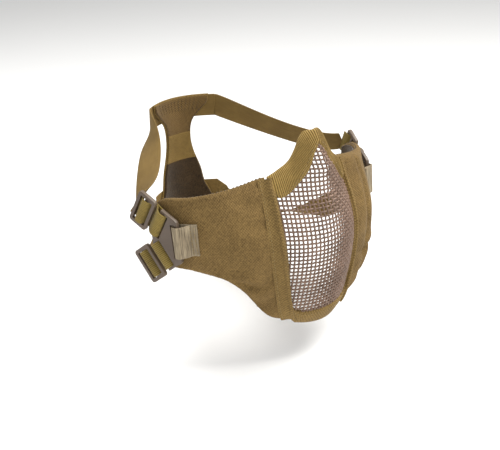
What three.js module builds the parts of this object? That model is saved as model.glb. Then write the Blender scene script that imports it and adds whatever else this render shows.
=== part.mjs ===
// Half-face wire-mesh mask with padded cheeks and a four-strap head harness.
// Millimetres, +Z up. The mask faces -Y and its mid-plane is X = 0, so the wearer's right is at -X.
// The origin is in the face hollow: on the mid-plane, level with the two strap plates, in the plane of the seam tops.
import * as THREE from "three";

// ---- driving dimensions ----------------------------------------------------------------------
const GUARD_HEIGHT = 157; // chin edge to the top of the nose bridge
const GUARD_WIDTH = 76.6; // seam to seam at the mouth
const GUARD_DEPTH = 38; // seam tops to the front of the mouth
const CHIN_DROP = 80.5; // chin edge below the strap plates
const CHEEK_REACH = 95.5; // seam to the rear edge of a cheek panel, in a straight line
const CHEEK_SPLAY = 39.5; // degrees outwards from straight back, seam to rear edge
const CHEEK_SPLAY_FRONT = 72; // the same, where it leaves the seam
const CHEEK_SPLAY_REAR = 1; // the same, at its rear edge
const HARNESS_REACH = 169; // seam tops back to the head pad
const PAD_WIDTH = 58;
const PAD_HEIGHT = 104;
const STRAP_WIDTH = 20;
const STRAP_THICKNESS = 1.2;
const LOOP_WIDTH = 25;
const LOOP_THICKNESS = 1;

// ---- materials' thicknesses and clearances ---------------------------------------------------
const GAP = 0.3; // between pieces that touch
const MESH_THICKNESS = 1.2; // crossed wires
const MESH_TUCK = 2.5; // mesh hidden under its bindings
const BINDING_THICKNESS = 1.5;
const SHELL_THICKNESS = 1;
const FOAM_THICKNESS = 4;
const LINING_THICKNESS = 1;
const PAD_THICKNESS = 1.6;
const PAD_CURVE_RADIUS = 42;
const SEAM_GAP = 3.2; // room for the cheek shell to turn at its seam
const FOAM_SETBACK = 7; // foam and lining start this far behind the seam
const LAYER_INSET = 3; // foam and lining inside the shell's edge
const TAPE_REACH = 8; // seam tape behind the seam, and half of it in front
const TAPE_THICKNESS = 0.8;

// ---- strap plate, adjusters and how they are threaded ----------------------------------------
const PLATE_SETBACK = 17.5; // plate's middle in front of the cheek's rear edge
const PLATE_THICKNESS = 3;
const PLATE_LIFT = 6.8; // plate's mid-plane above the cheek's surface
const PLATE_TURN = 2; // degrees the plate's rear is turned in towards the head
const PLATE_DROOP = 5; // degrees its rear hangs below level
const STRAP_ANGLE = 33; // straps leave the plate this far either side of its own level
const SLOT_CLEARANCE = 1; // slot is longer than its webbing is wide, at each end
const PLATE_BAR = 3.5;
const REAR_SLOT_OFFSET = 4.5; // rear slots' middles behind the plate's middle
const REAR_SLOT_HALF = 2.1;
const FRONT_SLOT_OFFSET = -6.5;
const FRONT_SLOT_HALF = 1.9;
const ADJUSTER_DISTANCE = 20; // adjuster's middle from its slot in the plate
const ADJUSTER_SLOT = 4.6;
const ADJUSTER_BAR = 2.7;
const ADJUSTER_MIDDLE_BAR = 2.4;
const ADJUSTER_THICKNESS = 3;
const ADJUSTER_SIDE = 3.4;
const STRAP_OVERLAP = 17; // sewn onto the pad
const STRAP_CLEAR = 6; // beyond the pad's edge before it turns
const STRAP_TWIST = { upper: { right: 60, left: -10 }, lower: { right: 90, left: -90 } }; // degrees halfway along the free run
const STRAP_SAG = { upper: [12, 2], lower: [12, 30] }; // pull down at the adjuster and at the pad
const STRAP_TUCK = 18; // pull in towards the head at the adjuster
const STRAP_LEAD = 9; // pull forward at the pad

// ---- small helpers ---------------------------------------------------------------------------
const radians = THREE.MathUtils.degToRad;
const vector = (x, y, z) => new THREE.Vector3(x, y, z);

// A smooth curve through the rows of a table, [key, value, value...], read at one key.
function readTable(table, key, column) {
  const last = table.length - 1;
  const k = THREE.MathUtils.clamp(key, table[0][0], table[last][0]);
  let i = 0;
  while (i < last - 1 && k > table[i + 1][0]) i += 1;
  const slope = (j) => {
    const a = table[Math.max(0, j - 1)];
    const b = table[Math.min(last, j + 1)];
    return (b[column] - a[column]) / (b[0] - a[0]);
  };
  const h = table[i + 1][0] - table[i][0];
  const t = (k - table[i][0]) / h;
  const t2 = t * t;
  const t3 = t2 * t;
  return (
    (2 * t3 - 3 * t2 + 1) * table[i][column] +
    (t3 - 2 * t2 + t) * h * slope(i) +
    (3 * t2 - 2 * t3) * table[i + 1][column] +
    (t3 - t2) * h * slope(i + 1)
  );
}

// Closed solid from points and triangles, turned inside out if its volume comes out negative.
function solid(points, triangles) {
  let volume = 0;
  for (const [a, b, c] of triangles) {
    volume += points[a].dot(vector(0, 0, 0).crossVectors(points[b], points[c]));
  }
  const order = volume < 0 ? ([a, b, c]) => [a, c, b] : (t) => t;
  const geometry = new THREE.BufferGeometry();
  geometry.setAttribute("position", new THREE.Float32BufferAttribute(points.flatMap((p) => p.toArray()), 3));
  geometry.setIndex(triangles.map(order).flat());
  geometry.computeVertexNormals();
  return geometry;
}

// A sheet with thickness: place(u, v, offset) gives the point on the sheet at that offset from it.
function sheetSolid(place, columns, rows, low, high) {
  const points = [];
  const index = (layer, i, j) => (layer * (columns + 1) + i) * (rows + 1) + j;
  for (const offset of [low, high]) {
    for (let i = 0; i <= columns; i += 1) {
      for (let j = 0; j <= rows; j += 1) points.push(place(i / columns, j / rows, offset));
    }
  }
  const triangles = [];
  const quad = (a, b, c, d) => triangles.push([a, b, c], [a, c, d]);
  for (let i = 0; i < columns; i += 1) {
    for (let j = 0; j < rows; j += 1) {
      quad(index(1, i, j), index(1, i + 1, j), index(1, i + 1, j + 1), index(1, i, j + 1));
      quad(index(0, i, j), index(0, i, j + 1), index(0, i + 1, j + 1), index(0, i + 1, j));
    }
  }
  for (let i = 0; i < columns; i += 1) {
    quad(index(0, i, 0), index(0, i + 1, 0), index(1, i + 1, 0), index(1, i, 0));
    quad(index(0, i + 1, rows), index(0, i, rows), index(1, i, rows), index(1, i + 1, rows));
  }
  for (let j = 0; j < rows; j += 1) {
    quad(index(0, 0, j + 1), index(0, 0, j), index(1, 0, j), index(1, 0, j + 1));
    quad(index(0, columns, j), index(0, columns, j + 1), index(1, columns, j + 1), index(1, columns, j));
  }
  return solid(points, triangles);
}

// Webbing: a rectangular section carried along stations of {at, across}, where across is the width direction.
function webbing(stations, width, thickness) {
  const points = [];
  const last = stations.length - 1;
  const step = (i) => vector(0, 0, 0).subVectors(stations[i + 1].at, stations[i].at).normalize();
  stations.forEach(({ at, across }, i) => {
    const before = step(Math.max(0, i - 1));
    const after = step(Math.min(last - 1, i));
    const along = vector(0, 0, 0).addVectors(before, after).normalize();
    const half = across.clone().multiplyScalar(width / 2);
    const mitre = 1 / Math.max(0.6, along.dot(after));
    const up = vector(0, 0, 0).crossVectors(along, across).normalize();
    up.multiplyScalar((thickness / 2) * mitre);
    for (const [w, u] of [[-1, -1], [1, -1], [1, 1], [-1, 1]]) {
      points.push(at.clone().addScaledVector(half, w).addScaledVector(up, u));
    }
  });
  const triangles = [[0, 2, 1], [0, 3, 2]];
  for (let i = 0; i < last; i += 1) {
    for (let k = 0; k < 4; k += 1) {
      const [a, b] = [4 * i + k, 4 * i + ((k + 1) % 4)];
      triangles.push([a, b, b + 4], [a, b + 4, a + 4]);
    }
  }
  const end = 4 * last;
  triangles.push([end, end + 1, end + 2], [end, end + 2, end + 3]);
  return solid(points, triangles);
}

// ---- the guard's surface ---------------------------------------------------------------------
// Shares of GUARD_HEIGHT above the chin: half width, edge and middle forward of the seam tops, roundness.
const GUARD_STATIONS = [
  [0, 0.5, 0.33, 0.56, 2],
  [0.071, 0.73, 0.42, 0.68, 2],
  [0.187, 0.85, 0.47, 0.82, 2],
  [0.329, 0.95, 0.505, 0.95, 2],
  [0.471, 1, 0.48, 1, 2],
  [0.594, 0.99, 0.34, 0.92, 1.9],
  [0.69, 0.953, 0.18, 0.8, 1.7],
  [0.79, 0.914, 0, 0.76, 1.5],
  [0.819, 0.72, 0.09, 0.77, 1.45],
  [0.858, 0.52, 0.18, 0.69, 1.4],
  [0.91, 0.38, 0.21, 0.57, 1.5],
  [0.961, 0.27, 0.21, 0.44, 1.7],
  [1, 0.08, 0.29, 0.355, 2],
];
// The mesh's opening, from its foot to its apex: share of height, share of half width.
const OPENING_STATIONS = [
  [0.09, 0.5],
  [0.119, 0.7],
  [0.187, 0.77],
  [0.329, 0.85],
  [0.471, 0.9],
  [0.594, 0.9],
  [0.671, 0.87],
  [0.702, 0.74],
  [0.781, 0.44],
  [0.845, 0.235],
  [0.897, 0.12],
  [0.939, 0.03],
];
const SEAM_TOP_SHARE = 0.79;
const SEAM_FOOT_SHARE = 0.036;
const CORNER_SHARE = 0.699; // where the nose binding's inner edge meets the seam

const HALF_WIDTH = GUARD_WIDTH / 2;
const levelAt = (share) => share * GUARD_HEIGHT - CHIN_DROP;
const shareAt = (z) => (z + CHIN_DROP) / GUARD_HEIGHT;
const guardHalf = (z) => HALF_WIDTH * readTable(GUARD_STATIONS, shareAt(z), 1);

function guardY(x, z) {
  const share = shareAt(z);
  const edge = readTable(GUARD_STATIONS, share, 2);
  const middle = readTable(GUARD_STATIONS, share, 3);
  const across = Math.min(1, Math.abs(x) / guardHalf(z));
  return -GUARD_DEPTH * (edge + (middle - edge) * (1 - across ** readTable(GUARD_STATIONS, share, 4)));
}

// The point at an offset in front of the guard's middle surface.
function guardPoint(x, z, offset) {
  const d = 0.5;
  const outwards = vector(
    (guardY(x + d, z) - guardY(x - d, z)) / (2 * d),
    -1,
    (guardY(x, z + d) - guardY(x, z - d)) / (2 * d),
  ).normalize();
  return vector(x, guardY(x, z), z).addScaledVector(outwards, offset);
}

// ---- the guard's pieces ----------------------------------------------------------------------
function wireMesh() {
  const foot = levelAt(OPENING_STATIONS[0][0]) - MESH_TUCK;
  const top = levelAt(OPENING_STATIONS[OPENING_STATIONS.length - 1][0]) + MESH_TUCK;
  const place = (u, v, offset) => {
    const z = foot + (top - foot) * v;
    const opening = HALF_WIDTH * readTable(OPENING_STATIONS, shareAt(z), 1);
    const half = Math.min(opening + MESH_TUCK, guardHalf(z) - 1);
    return guardPoint((2 * u - 1) * half, z, offset);
  };
  return sheetSolid(place, 20, 30, -MESH_THICKNESS / 2, MESH_THICKNESS / 2);
}

// Half an outline, from points of [share of half width, share of height] to a curve in X and Z.
function outline(points) {
  return new THREE.SplineCurve(points.map(([w, h]) => new THREE.Vector2(w * HALF_WIDTH, levelAt(h))));
}
const stationPoint = ([share, width]) => [width, share];
const upperStations = GUARD_STATIONS.filter(([share]) => share >= SEAM_TOP_SHARE && share < 1);
const noseOuter = outline([...upperStations.map(stationPoint), [0.15, 0.99], [0, 1]]);
const noseInner = outline([
  [0.952, CORNER_SHARE],
  [0.74, 0.704],
  ...OPENING_STATIONS.filter(([share]) => share > 0.72 && share < 0.9).map(stationPoint),
  [0, 0.936],
]);
const lowerStations = GUARD_STATIONS.filter(([share]) => share >= SEAM_FOOT_SHARE && share < SEAM_TOP_SHARE - 0.11);
const chinOuter = outline([
  [0.953, CORNER_SHARE - 0.006],
  ...lowerStations.reverse().map(stationPoint),
  [0.58, 0.02],
  [0.5, 0.008],
  [0.25, 0.001],
  [0, 0],
]);
const chinInner = outline([
  [0.86, CORNER_SHARE - 0.01],
  ...OPENING_STATIONS.filter(([share]) => share < 0.6 && share > 0.1).reverse().map(stationPoint),
  [0.55, 0.092],
  [0.27, 0.086],
  [0, 0.085],
]);

// A band between two half outlines and their mirror images, from one seam to the other.
function guardBand(outer, inner, columns, low, high) {
  const place = (u, v, offset) => {
    const t = 1 - Math.abs(2 * u - 1);
    const a = outer.getPoint(t);
    const b = inner.getPoint(t);
    const p = a.lerp(b, v);
    return guardPoint(Math.sign(u - 0.5) * p.x, p.y, offset);
  };
  return sheetSolid(place, columns, 4, low, high);
}
const OUTER_LOW = MESH_THICKNESS / 2 + GAP + 0.1;
const OUTER_HIGH = OUTER_LOW + BINDING_THICKNESS;

// ---- the cheeks' surface ---------------------------------------------------------------------
// Shares of CHEEK_LENGTH behind the seam: foot and top, in mm from the strap plates' level.
const CHEEK_STATIONS = [
  [0, -73.5, 43.8],
  [0.07, -73, 43],
  [0.15, -68, 41.5],
  [0.22, -58, 40.2],
  [0.3, -44.5, 38.8],
  [0.38, -36, 37.6],
  [0.47, -30.5, 36.2],
  [0.68, -26, 33.2],
  [0.88, -26, 30.5],
  [1, -24, 25],
];
const heading = (degrees) => new THREE.Vector2(Math.sin(radians(degrees)), Math.cos(radians(degrees)));
const seamAt = (z) => new THREE.Vector2(guardHalf(z), guardY(guardHalf(z), z));
const MOUTH_SEAM = seamAt(levelAt(0.437));
const CHEEK_REAR = MOUTH_SEAM.clone().addScaledVector(heading(CHEEK_SPLAY), CHEEK_REACH);
const CHEEK_BEFORE_REAR = CHEEK_REAR.clone().addScaledVector(heading(CHEEK_SPLAY_REAR), -CHEEK_REACH / 3);

// The cheek's line at a level, in plan, from its seam to its rear edge.
function cheekCurve(z) {
  const seam = seamAt(THREE.MathUtils.clamp(z, levelAt(SEAM_FOOT_SHARE), levelAt(SEAM_TOP_SHARE)));
  const afterSeam = seam.clone().addScaledVector(heading(CHEEK_SPLAY_FRONT), CHEEK_REACH / 3);
  const curve = new THREE.CubicBezierCurve(seam, afterSeam, CHEEK_BEFORE_REAR, CHEEK_REAR);
  curve.arcLengthDivisions = 40;
  return curve;
}
const CHEEK_LENGTH = cheekCurve(0).getLength();

// The point at a share of the cheek's length, a level and an offset outwards. side is -1 for the wearer's right.
function cheekPoint(side, s, z, offset) {
  const curve = cheekCurve(z);
  const at = curve.getPointAt(s);
  const along = curve.getTangentAt(s);
  return vector(side * (at.x + along.y * offset), at.y - along.x * offset, z);
}

function cheekLayer(side, from, inset, low, high) {
  const place = (u, v, offset) => {
    const s = from + (1 - inset / CHEEK_LENGTH - from) * u;
    const foot = readTable(CHEEK_STATIONS, s, 1) + inset;
    const top = readTable(CHEEK_STATIONS, s, 2) - inset;
    return cheekPoint(side, s, foot + (top - foot) * v, offset);
  };
  return sheetSolid(place, 20, 12, low, high);
}

// Tape sewn over the seam on the outside, from the guard's binding to the cheek.
function seamTape(side) {
  const foot = levelAt(SEAM_FOOT_SHARE) + 2 * LAYER_INSET;
  const top = levelAt(SEAM_TOP_SHARE) - 2 * LAYER_INSET;
  const overGuard = OUTER_HIGH + GAP + 0.35;
  const overCheek = SHELL_THICKNESS + GAP + 0.2;
  const place = (u, v, offset) => {
    const z = foot + (top - foot) * v;
    if (u < 0.5) return guardPoint(side * (guardHalf(z) - TAPE_REACH * (0.5 - u)), z, overGuard + offset);
    const s = ((u - 0.5) * 2 * TAPE_REACH) / CHEEK_LENGTH;
    const settle = Math.min(1, (u - 0.5) * 4);
    return cheekPoint(side, s, z, overGuard + (overCheek - overGuard) * settle + offset);
  };
  return sheetSolid(place, 4, 12, 0, TAPE_THICKNESS);
}

// ---- hardware ---------------------------------------------------------------------------------
const PLATE_S = 1 - PLATE_SETBACK / CHEEK_LENGTH;

// A point given from the plate's middle, along the cheek: rearward and up as the plate hangs, and outward.
const DROOP = radians(PLATE_DROOP);
function cheekAtPlate(side, rear, up, out) {
  const s = PLATE_S + (rear * Math.cos(DROOP) + up * Math.sin(DROOP)) / CHEEK_LENGTH;
  return cheekPoint(side, s, up * Math.cos(DROOP) - rear * Math.sin(DROOP), out);
}

// The plate's own axes: rearward, up and outward, with the plate's middle as origin.
function plateFrame(side) {
  const at = cheekPoint(side, PLATE_S, 0, PLATE_LIFT);
  const upright = vector(0, 0, 1);
  const out = cheekPoint(side, PLATE_S, 0, PLATE_LIFT + 1).sub(at);
  out.applyAxisAngle(upright, side * radians(PLATE_TURN));
  const rear = vector(0, 0, 0).crossVectors(out, upright).multiplyScalar(-side);
  rear.applyAxisAngle(out, -side * DROOP);
  const up = upright.applyAxisAngle(out, -side * DROOP);
  return { at, rear, up, out };
}

// Rearward and up in the plate's plane, and outward, in the part's frame.
function onPlate(frame, rear, up, out) {
  return frame.at
    .clone()
    .addScaledVector(frame.rear, rear)
    .addScaledVector(frame.up, up)
    .addScaledVector(frame.out, out);
}

const SLOT_HALF = STRAP_WIDTH / 2 + SLOT_CLEARANCE;
const LOOP_SLOT_HALF = LOOP_WIDTH / 2 + SLOT_CLEARANCE;
const SLOT_RISE = SLOT_HALF * Math.cos(radians(STRAP_ANGLE)) + 1.6; // keeps the two rear slots apart

// A slot's outline: middle at [x, y], running along its own length, tilted by an angle.
function slotPath(x, y, halfWidth, halfLength, tilt) {
  const path = new THREE.Path();
  const corners = [[-1, -1], [1, -1], [1, 1], [-1, 1]].map(([a, b]) => {
    const corner = new THREE.Vector2(a * halfWidth, b * halfLength);
    return corner.rotateAround(new THREE.Vector2(0, 0), tilt).add(new THREE.Vector2(x, y));
  });
  path.setFromPoints([...corners, corners[0]]);
  return path;
}

function extrudeCentred(shape, thickness) {
  const geometry = new THREE.ExtrudeGeometry(shape, { depth: thickness, bevelEnabled: false, curveSegments: 4 });
  return geometry.translate(0, 0, -thickness / 2);
}

function strapPlate() {
  const tilt = radians(STRAP_ANGLE);
  const along = new THREE.Vector2(Math.cos(tilt), Math.sin(tilt));
  const across = new THREE.Vector2(-Math.sin(tilt), Math.cos(tilt));
  const slot = new THREE.Vector2(REAR_SLOT_OFFSET, SLOT_RISE);
  const edge = slot.clone().addScaledVector(along, REAR_SLOT_HALF + PLATE_BAR);
  const tip = edge.clone().addScaledVector(across, SLOT_HALF + 2);
  const shoulder = tip.clone().addScaledVector(along, -(2 * REAR_SLOT_HALF + PLATE_BAR));
  const tail = edge.clone().addScaledVector(across, -SLOT_HALF + 1.5);
  const front = FRONT_SLOT_OFFSET - FRONT_SLOT_HALF - PLATE_BAR + 0.8;
  const half = [
    [front, LOOP_SLOT_HALF + PLATE_BAR - 1],
    [front + 1.5, LOOP_SLOT_HALF + PLATE_BAR + 0.6],
    [shoulder.x, shoulder.y],
    [tip.x, tip.y],
    [tail.x, tail.y],
    [tail.x + 0.6, tail.y - 2.5],
  ];
  const mirrored = half.map(([x, y]) => [x, -y]).reverse();
  const shape = new THREE.Shape([...half, ...mirrored].map(([x, y]) => new THREE.Vector2(x, y)));
  shape.holes.push(slotPath(FRONT_SLOT_OFFSET, 0, FRONT_SLOT_HALF, LOOP_SLOT_HALF, 0));
  shape.holes.push(slotPath(slot.x, slot.y, REAR_SLOT_HALF, SLOT_HALF, tilt));
  shape.holes.push(slotPath(slot.x, -slot.y, REAR_SLOT_HALF, SLOT_HALF, -tilt));
  return extrudeCentred(shape, PLATE_THICKNESS);
}

const ADJUSTER_HALF = ADJUSTER_MIDDLE_BAR / 2 + ADJUSTER_SLOT + ADJUSTER_BAR;

function adjuster() {
  const length = SLOT_HALF + ADJUSTER_SIDE;
  const corner = 2.5;
  const points = [];
  for (const [x, y, turn] of [[1, -1, 3], [1, 1, 0], [-1, 1, 1], [-1, -1, 2]]) {
    for (let i = 0; i <= 3; i += 1) {
      const arc = new THREE.Vector2(corner, 0).rotateAround(new THREE.Vector2(0, 0), (turn + i / 3) * (Math.PI / 2));
      points.push(arc.add(new THREE.Vector2(x * (ADJUSTER_HALF - corner), y * (length - corner))));
    }
  }
  const shape = new THREE.Shape(points);
  const slotMiddle = (ADJUSTER_MIDDLE_BAR + ADJUSTER_SLOT) / 2;
  for (const way of [-1, 1]) {
    const halfLength = way > 0 ? SLOT_HALF + 0.4 : SLOT_HALF;
    shape.holes.push(slotPath(way * slotMiddle, 0, ADJUSTER_SLOT / 2, halfLength, 0));
  }
  return extrudeCentred(shape, ADJUSTER_THICKNESS);
}

// Puts an extruded piece in the plate's plane, its own X along the direction at that angle.
function placeOnPlate(mesh, side, rear, up, angle) {
  const frame = plateFrame(side);
  const along = frame.rear.clone().multiplyScalar(Math.cos(angle)).addScaledVector(frame.up, Math.sin(angle));
  const across = frame.rear.clone().multiplyScalar(-Math.sin(angle)).addScaledVector(frame.up, Math.cos(angle));
  const normal = vector(0, 0, 0).crossVectors(along, across);
  const matrix = new THREE.Matrix4().makeBasis(along, across, normal);
  mesh.position.copy(onPlate(frame, rear, up, 0));
  mesh.quaternion.setFromRotationMatrix(matrix);
  return mesh;
}

// The cheek's loop: one ply over the plate's front bar, through the front slot, and back under it.
function cheekLoop(side) {
  const under = SHELL_THICKNESS + GAP + 0.2 + LOOP_THICKNESS / 2;
  const sewn = under + LOOP_THICKNESS + GAP;
  const over = PLATE_THICKNESS / 2 + GAP + LOOP_THICKNESS / 2 + 1;
  const slot = FRONT_SLOT_OFFSET + 0.3;
  const bar = FRONT_SLOT_OFFSET - FRONT_SLOT_HALF - PLATE_BAR;
  const sewnFrom = bar - 10;
  const frame = plateFrame(side);
  const onBar = (rear, out) => ({ at: onPlate(frame, rear, 0, out), across: frame.up });
  const onCheek = (rear, out) => ({
    at: cheekAtPlate(side, rear, 0, out),
    across: cheekAtPlate(side, rear, 1, out).sub(cheekAtPlate(side, rear, -1, out)).normalize(),
  });
  const stations = [
    onCheek(sewnFrom, sewn),
    onCheek(bar - 5, sewn),
    onCheek(bar - 2.4, (sewn + over + PLATE_LIFT) / 2),
    onBar(bar, over - 0.2),
    onBar(bar + 2, over),
    onBar(slot - 1.6, over - 0.3),
    onBar(slot, 0.8),
    onBar(slot, -1.6),
    onCheek(slot - 1.2, under + 0.2),
    onCheek(slot - 3, under),
    onCheek(bar - 6, under),
    onCheek(sewnFrom, under),
  ];
  return webbing(stations, LOOP_WIDTH, LOOP_THICKNESS);
}

// ---- harness ----------------------------------------------------------------------------------
const PAD_MID = 12; // pad's middle above the strap plates
// Shares of PAD_HEIGHT from the foot, and of half PAD_WIDTH.
const PAD_STATIONS = [
  [0, 1],
  [0.08, 0.98],
  [0.2, 0.8],
  [0.34, 0.7],
  [0.5, 0.52],
  [0.63, 0.45],
  [0.77, 0.52],
  [0.88, 0.82],
  [0.93, 0.97],
  [1, 1],
];
const padHalf = (v) => (PAD_WIDTH / 2) * readTable(PAD_STATIONS, v, 1);
const padY = (x) => HARNESS_REACH - (x * x) / (2 * PAD_CURVE_RADIUS);

function headPadLayer(low, high) {
  const place = (u, v, offset) => {
    const x = (2 * u - 1) * padHalf(v);
    const z = PAD_MID + (v - 0.5) * PAD_HEIGHT;
    const outwards = vector(x / PAD_CURVE_RADIUS, 1, 0).normalize();
    return vector(x, padY(x), z).addScaledVector(outwards, offset);
  };
  return sheetSolid(place, 8, 10, low, high);
}

// How the strap threads the plate and its adjuster: [distance along the strap from the plate's slot, height].
function threadPath() {
  const low = STRAP_THICKNESS / 2 + PLATE_THICKNESS / 2 + GAP + 0.3;
  const bar = REAR_SLOT_HALF + PLATE_BAR;
  const a = ADJUSTER_DISTANCE;
  const slot = (ADJUSTER_MIDDLE_BAR + ADJUSTER_SLOT) / 2;
  return [
    [a - 4.5, -low - STRAP_THICKNESS - GAP],
    [bar + 4, -low - 1.2],
    [2.8, -low - 0.1],
    [0.9, -low + 0.8],
    [0, 0],
    [0.9, low - 0.8],
    [2.7, low],
    [bar - 0.3, low],
    [bar + 1.6, low - 1],
    [(bar + a - ADJUSTER_HALF) / 2 + 0.6, 0],
    [a - ADJUSTER_HALF - 1, 0.8 - low],
    [a - ADJUSTER_HALF + 0.9, -low],
    [a - slot - 2.5, -low],
    [a - slot - 0.9, -low + 0.9],
    [a - slot, 0],
    [a - slot + 0.9, low - 0.8],
    [a - slot + 2.2, low],
    [a + slot - 2.2, low],
    [a + slot - 0.9, low - 0.8],
    [a + slot, 0],
    [a + slot + 1.1, -low + 0.9],
    [a + slot + 2.7, -low],
    [a + ADJUSTER_HALF + 1, -low - 0.9],
  ];
}

// One strap from its sewn end under the plate, through the adjuster, and round to the head pad.
function strap(side, rise) {
  const frame = plateFrame(side);
  const angle = rise * radians(STRAP_ANGLE);
  const [c, s] = [Math.cos(angle), Math.sin(angle)];
  const across = frame.rear.clone().multiplyScalar(-s).addScaledVector(frame.up, c);
  const along = frame.rear.clone().multiplyScalar(c).addScaledVector(frame.up, s);
  const at = (q, h) => onPlate(frame, REAR_SLOT_OFFSET + q * c, rise * SLOT_RISE + q * s, h);
  const stations = threadPath().map(([q, h]) => ({ at: at(q, h), across }));

  const start = stations[stations.length - 1].at;
  const padZ = PAD_MID + rise * (PAD_HEIGHT - STRAP_WIDTH - 2) / 2;
  const outside = PAD_THICKNESS + GAP + 0.3 + STRAP_THICKNESS / 2;
  const padEnd = (x) => vector(side * x, padY(x) + outside, padZ);
  const leave = padEnd(PAD_WIDTH / 2 + STRAP_CLEAR);
  const slope = vector(side, -PAD_WIDTH / 2 / PAD_CURVE_RADIUS, 0).normalize();
  const place = rise > 0 ? "upper" : "lower";
  const sag = STRAP_SAG[place];
  const twist = radians(STRAP_TWIST[place][side < 0 ? "right" : "left"]);
  const curve = new THREE.CubicBezierCurve3(
    start,
    start.clone().addScaledVector(along, 6).addScaledVector(frame.out, -STRAP_TUCK).add(vector(0, 0, -sag[0])),
    leave.clone().addScaledVector(slope, 6).add(vector(0, -STRAP_LEAD, -sag[1])),
    leave,
  );
  const steps = 18;
  for (let i = 1; i <= steps; i += 1) {
    const t = i / steps;
    const tangent = curve.getTangent(t);
    const width = across.clone().lerp(vector(0, 0, 1), t * t * (3 - 2 * t));
    width.addScaledVector(tangent, -width.dot(tangent)).normalize();
    width.applyAxisAngle(tangent, twist * Math.sin(Math.PI * t) ** 2);
    stations.push({ at: curve.getPoint(t), across: width });
  }
  for (let i = 1; i <= 5; i += 1) {
    const x = PAD_WIDTH / 2 + STRAP_CLEAR - ((STRAP_OVERLAP + STRAP_CLEAR) * i) / 5;
    stations.push({ at: padEnd(x), across: vector(0, 0, 1) });
  }
  return webbing(stations, STRAP_WIDTH, STRAP_THICKNESS);
}

// ---- assembly ---------------------------------------------------------------------------------
const finish = (color, roughness, metalness = 0) => new THREE.MeshStandardMaterial({ color, roughness, metalness });
const webbingTan = finish(0x8a7444, 0.85);
const fabricTan = finish(0x80693f, 0.9);
const liningBrown = finish(0x4a3a28, 0.95);
const foamGrey = finish(0x6b6256, 0.95);
const meshTan = finish(0x7c6656, 0.5, 0.6);
const plasticBrown = finish(0x6a5a4b, 0.45);
const loopGrey = finish(0x857762, 0.8);

const mask = new THREE.Group();
function add(name, geometry, material) {
  const mesh = new THREE.Mesh(geometry, material);
  mesh.name = name;
  mask.add(mesh);
  return mesh;
}

add("wire_mesh", wireMesh(), meshTan);
add("nose_binding", guardBand(noseOuter, noseInner, 40, OUTER_LOW, OUTER_HIGH), webbingTan);
add("nose_lining", guardBand(noseOuter, noseInner, 40, -OUTER_HIGH, -OUTER_LOW), liningBrown);
add("chin_binding", guardBand(chinOuter, chinInner, 32, OUTER_LOW, OUTER_HIGH), fabricTan);
add("chin_lining", guardBand(chinOuter, chinInner, 32, -OUTER_HIGH, -OUTER_LOW), liningBrown);

for (const [word, side] of [["right", -1], ["left", 1]]) {
  const shellFrom = SEAM_GAP / CHEEK_LENGTH;
  const layersFrom = FOAM_SETBACK / CHEEK_LENGTH;
  const foamHigh = -GAP - 0.35;
  const foamLow = foamHigh - FOAM_THICKNESS;
  add(`${word}_cheek_shell`, cheekLayer(side, shellFrom, 0, 0, SHELL_THICKNESS), fabricTan);
  add(`${word}_cheek_foam`, cheekLayer(side, layersFrom, LAYER_INSET, foamLow, foamHigh), foamGrey);
  add(
    `${word}_cheek_lining`,
    cheekLayer(side, layersFrom, LAYER_INSET, foamLow - GAP - LINING_THICKNESS, foamLow - GAP),
    liningBrown,
  );
  add(`${word}_seam_tape`, seamTape(side), webbingTan);
  add(`${word}_cheek_loop`, cheekLoop(side), loopGrey);
  placeOnPlate(add(`${word}_strap_plate`, strapPlate(), plasticBrown), side, 0, 0, 0);
  for (const [place, rise] of [["upper", 1], ["lower", -1]]) {
    const angle = rise * radians(STRAP_ANGLE);
    const rear = REAR_SLOT_OFFSET + ADJUSTER_DISTANCE * Math.cos(angle);
    const up = rise * SLOT_RISE + ADJUSTER_DISTANCE * Math.sin(angle);
    placeOnPlate(add(`${word}_${place}_adjuster`, adjuster(), plasticBrown), side, rear, up, angle);
    add(`${word}_${place}_strap`, strap(side, rise), webbingTan);
  }
}
add("head_pad", headPadLayer(0, PAD_THICKNESS), webbingTan);
add("head_pad_lining", headPadLayer(-GAP - LINING_THICKNESS, -GAP), liningBrown);

export default mask;
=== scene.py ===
"""Looks of a half-face wire-mesh mask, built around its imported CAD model.

Sizes are worked in millimetres and made in metres.
"""

import itertools
import math

import bmesh
import bpy
import numpy as np
from mathutils import Matrix, Vector


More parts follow.
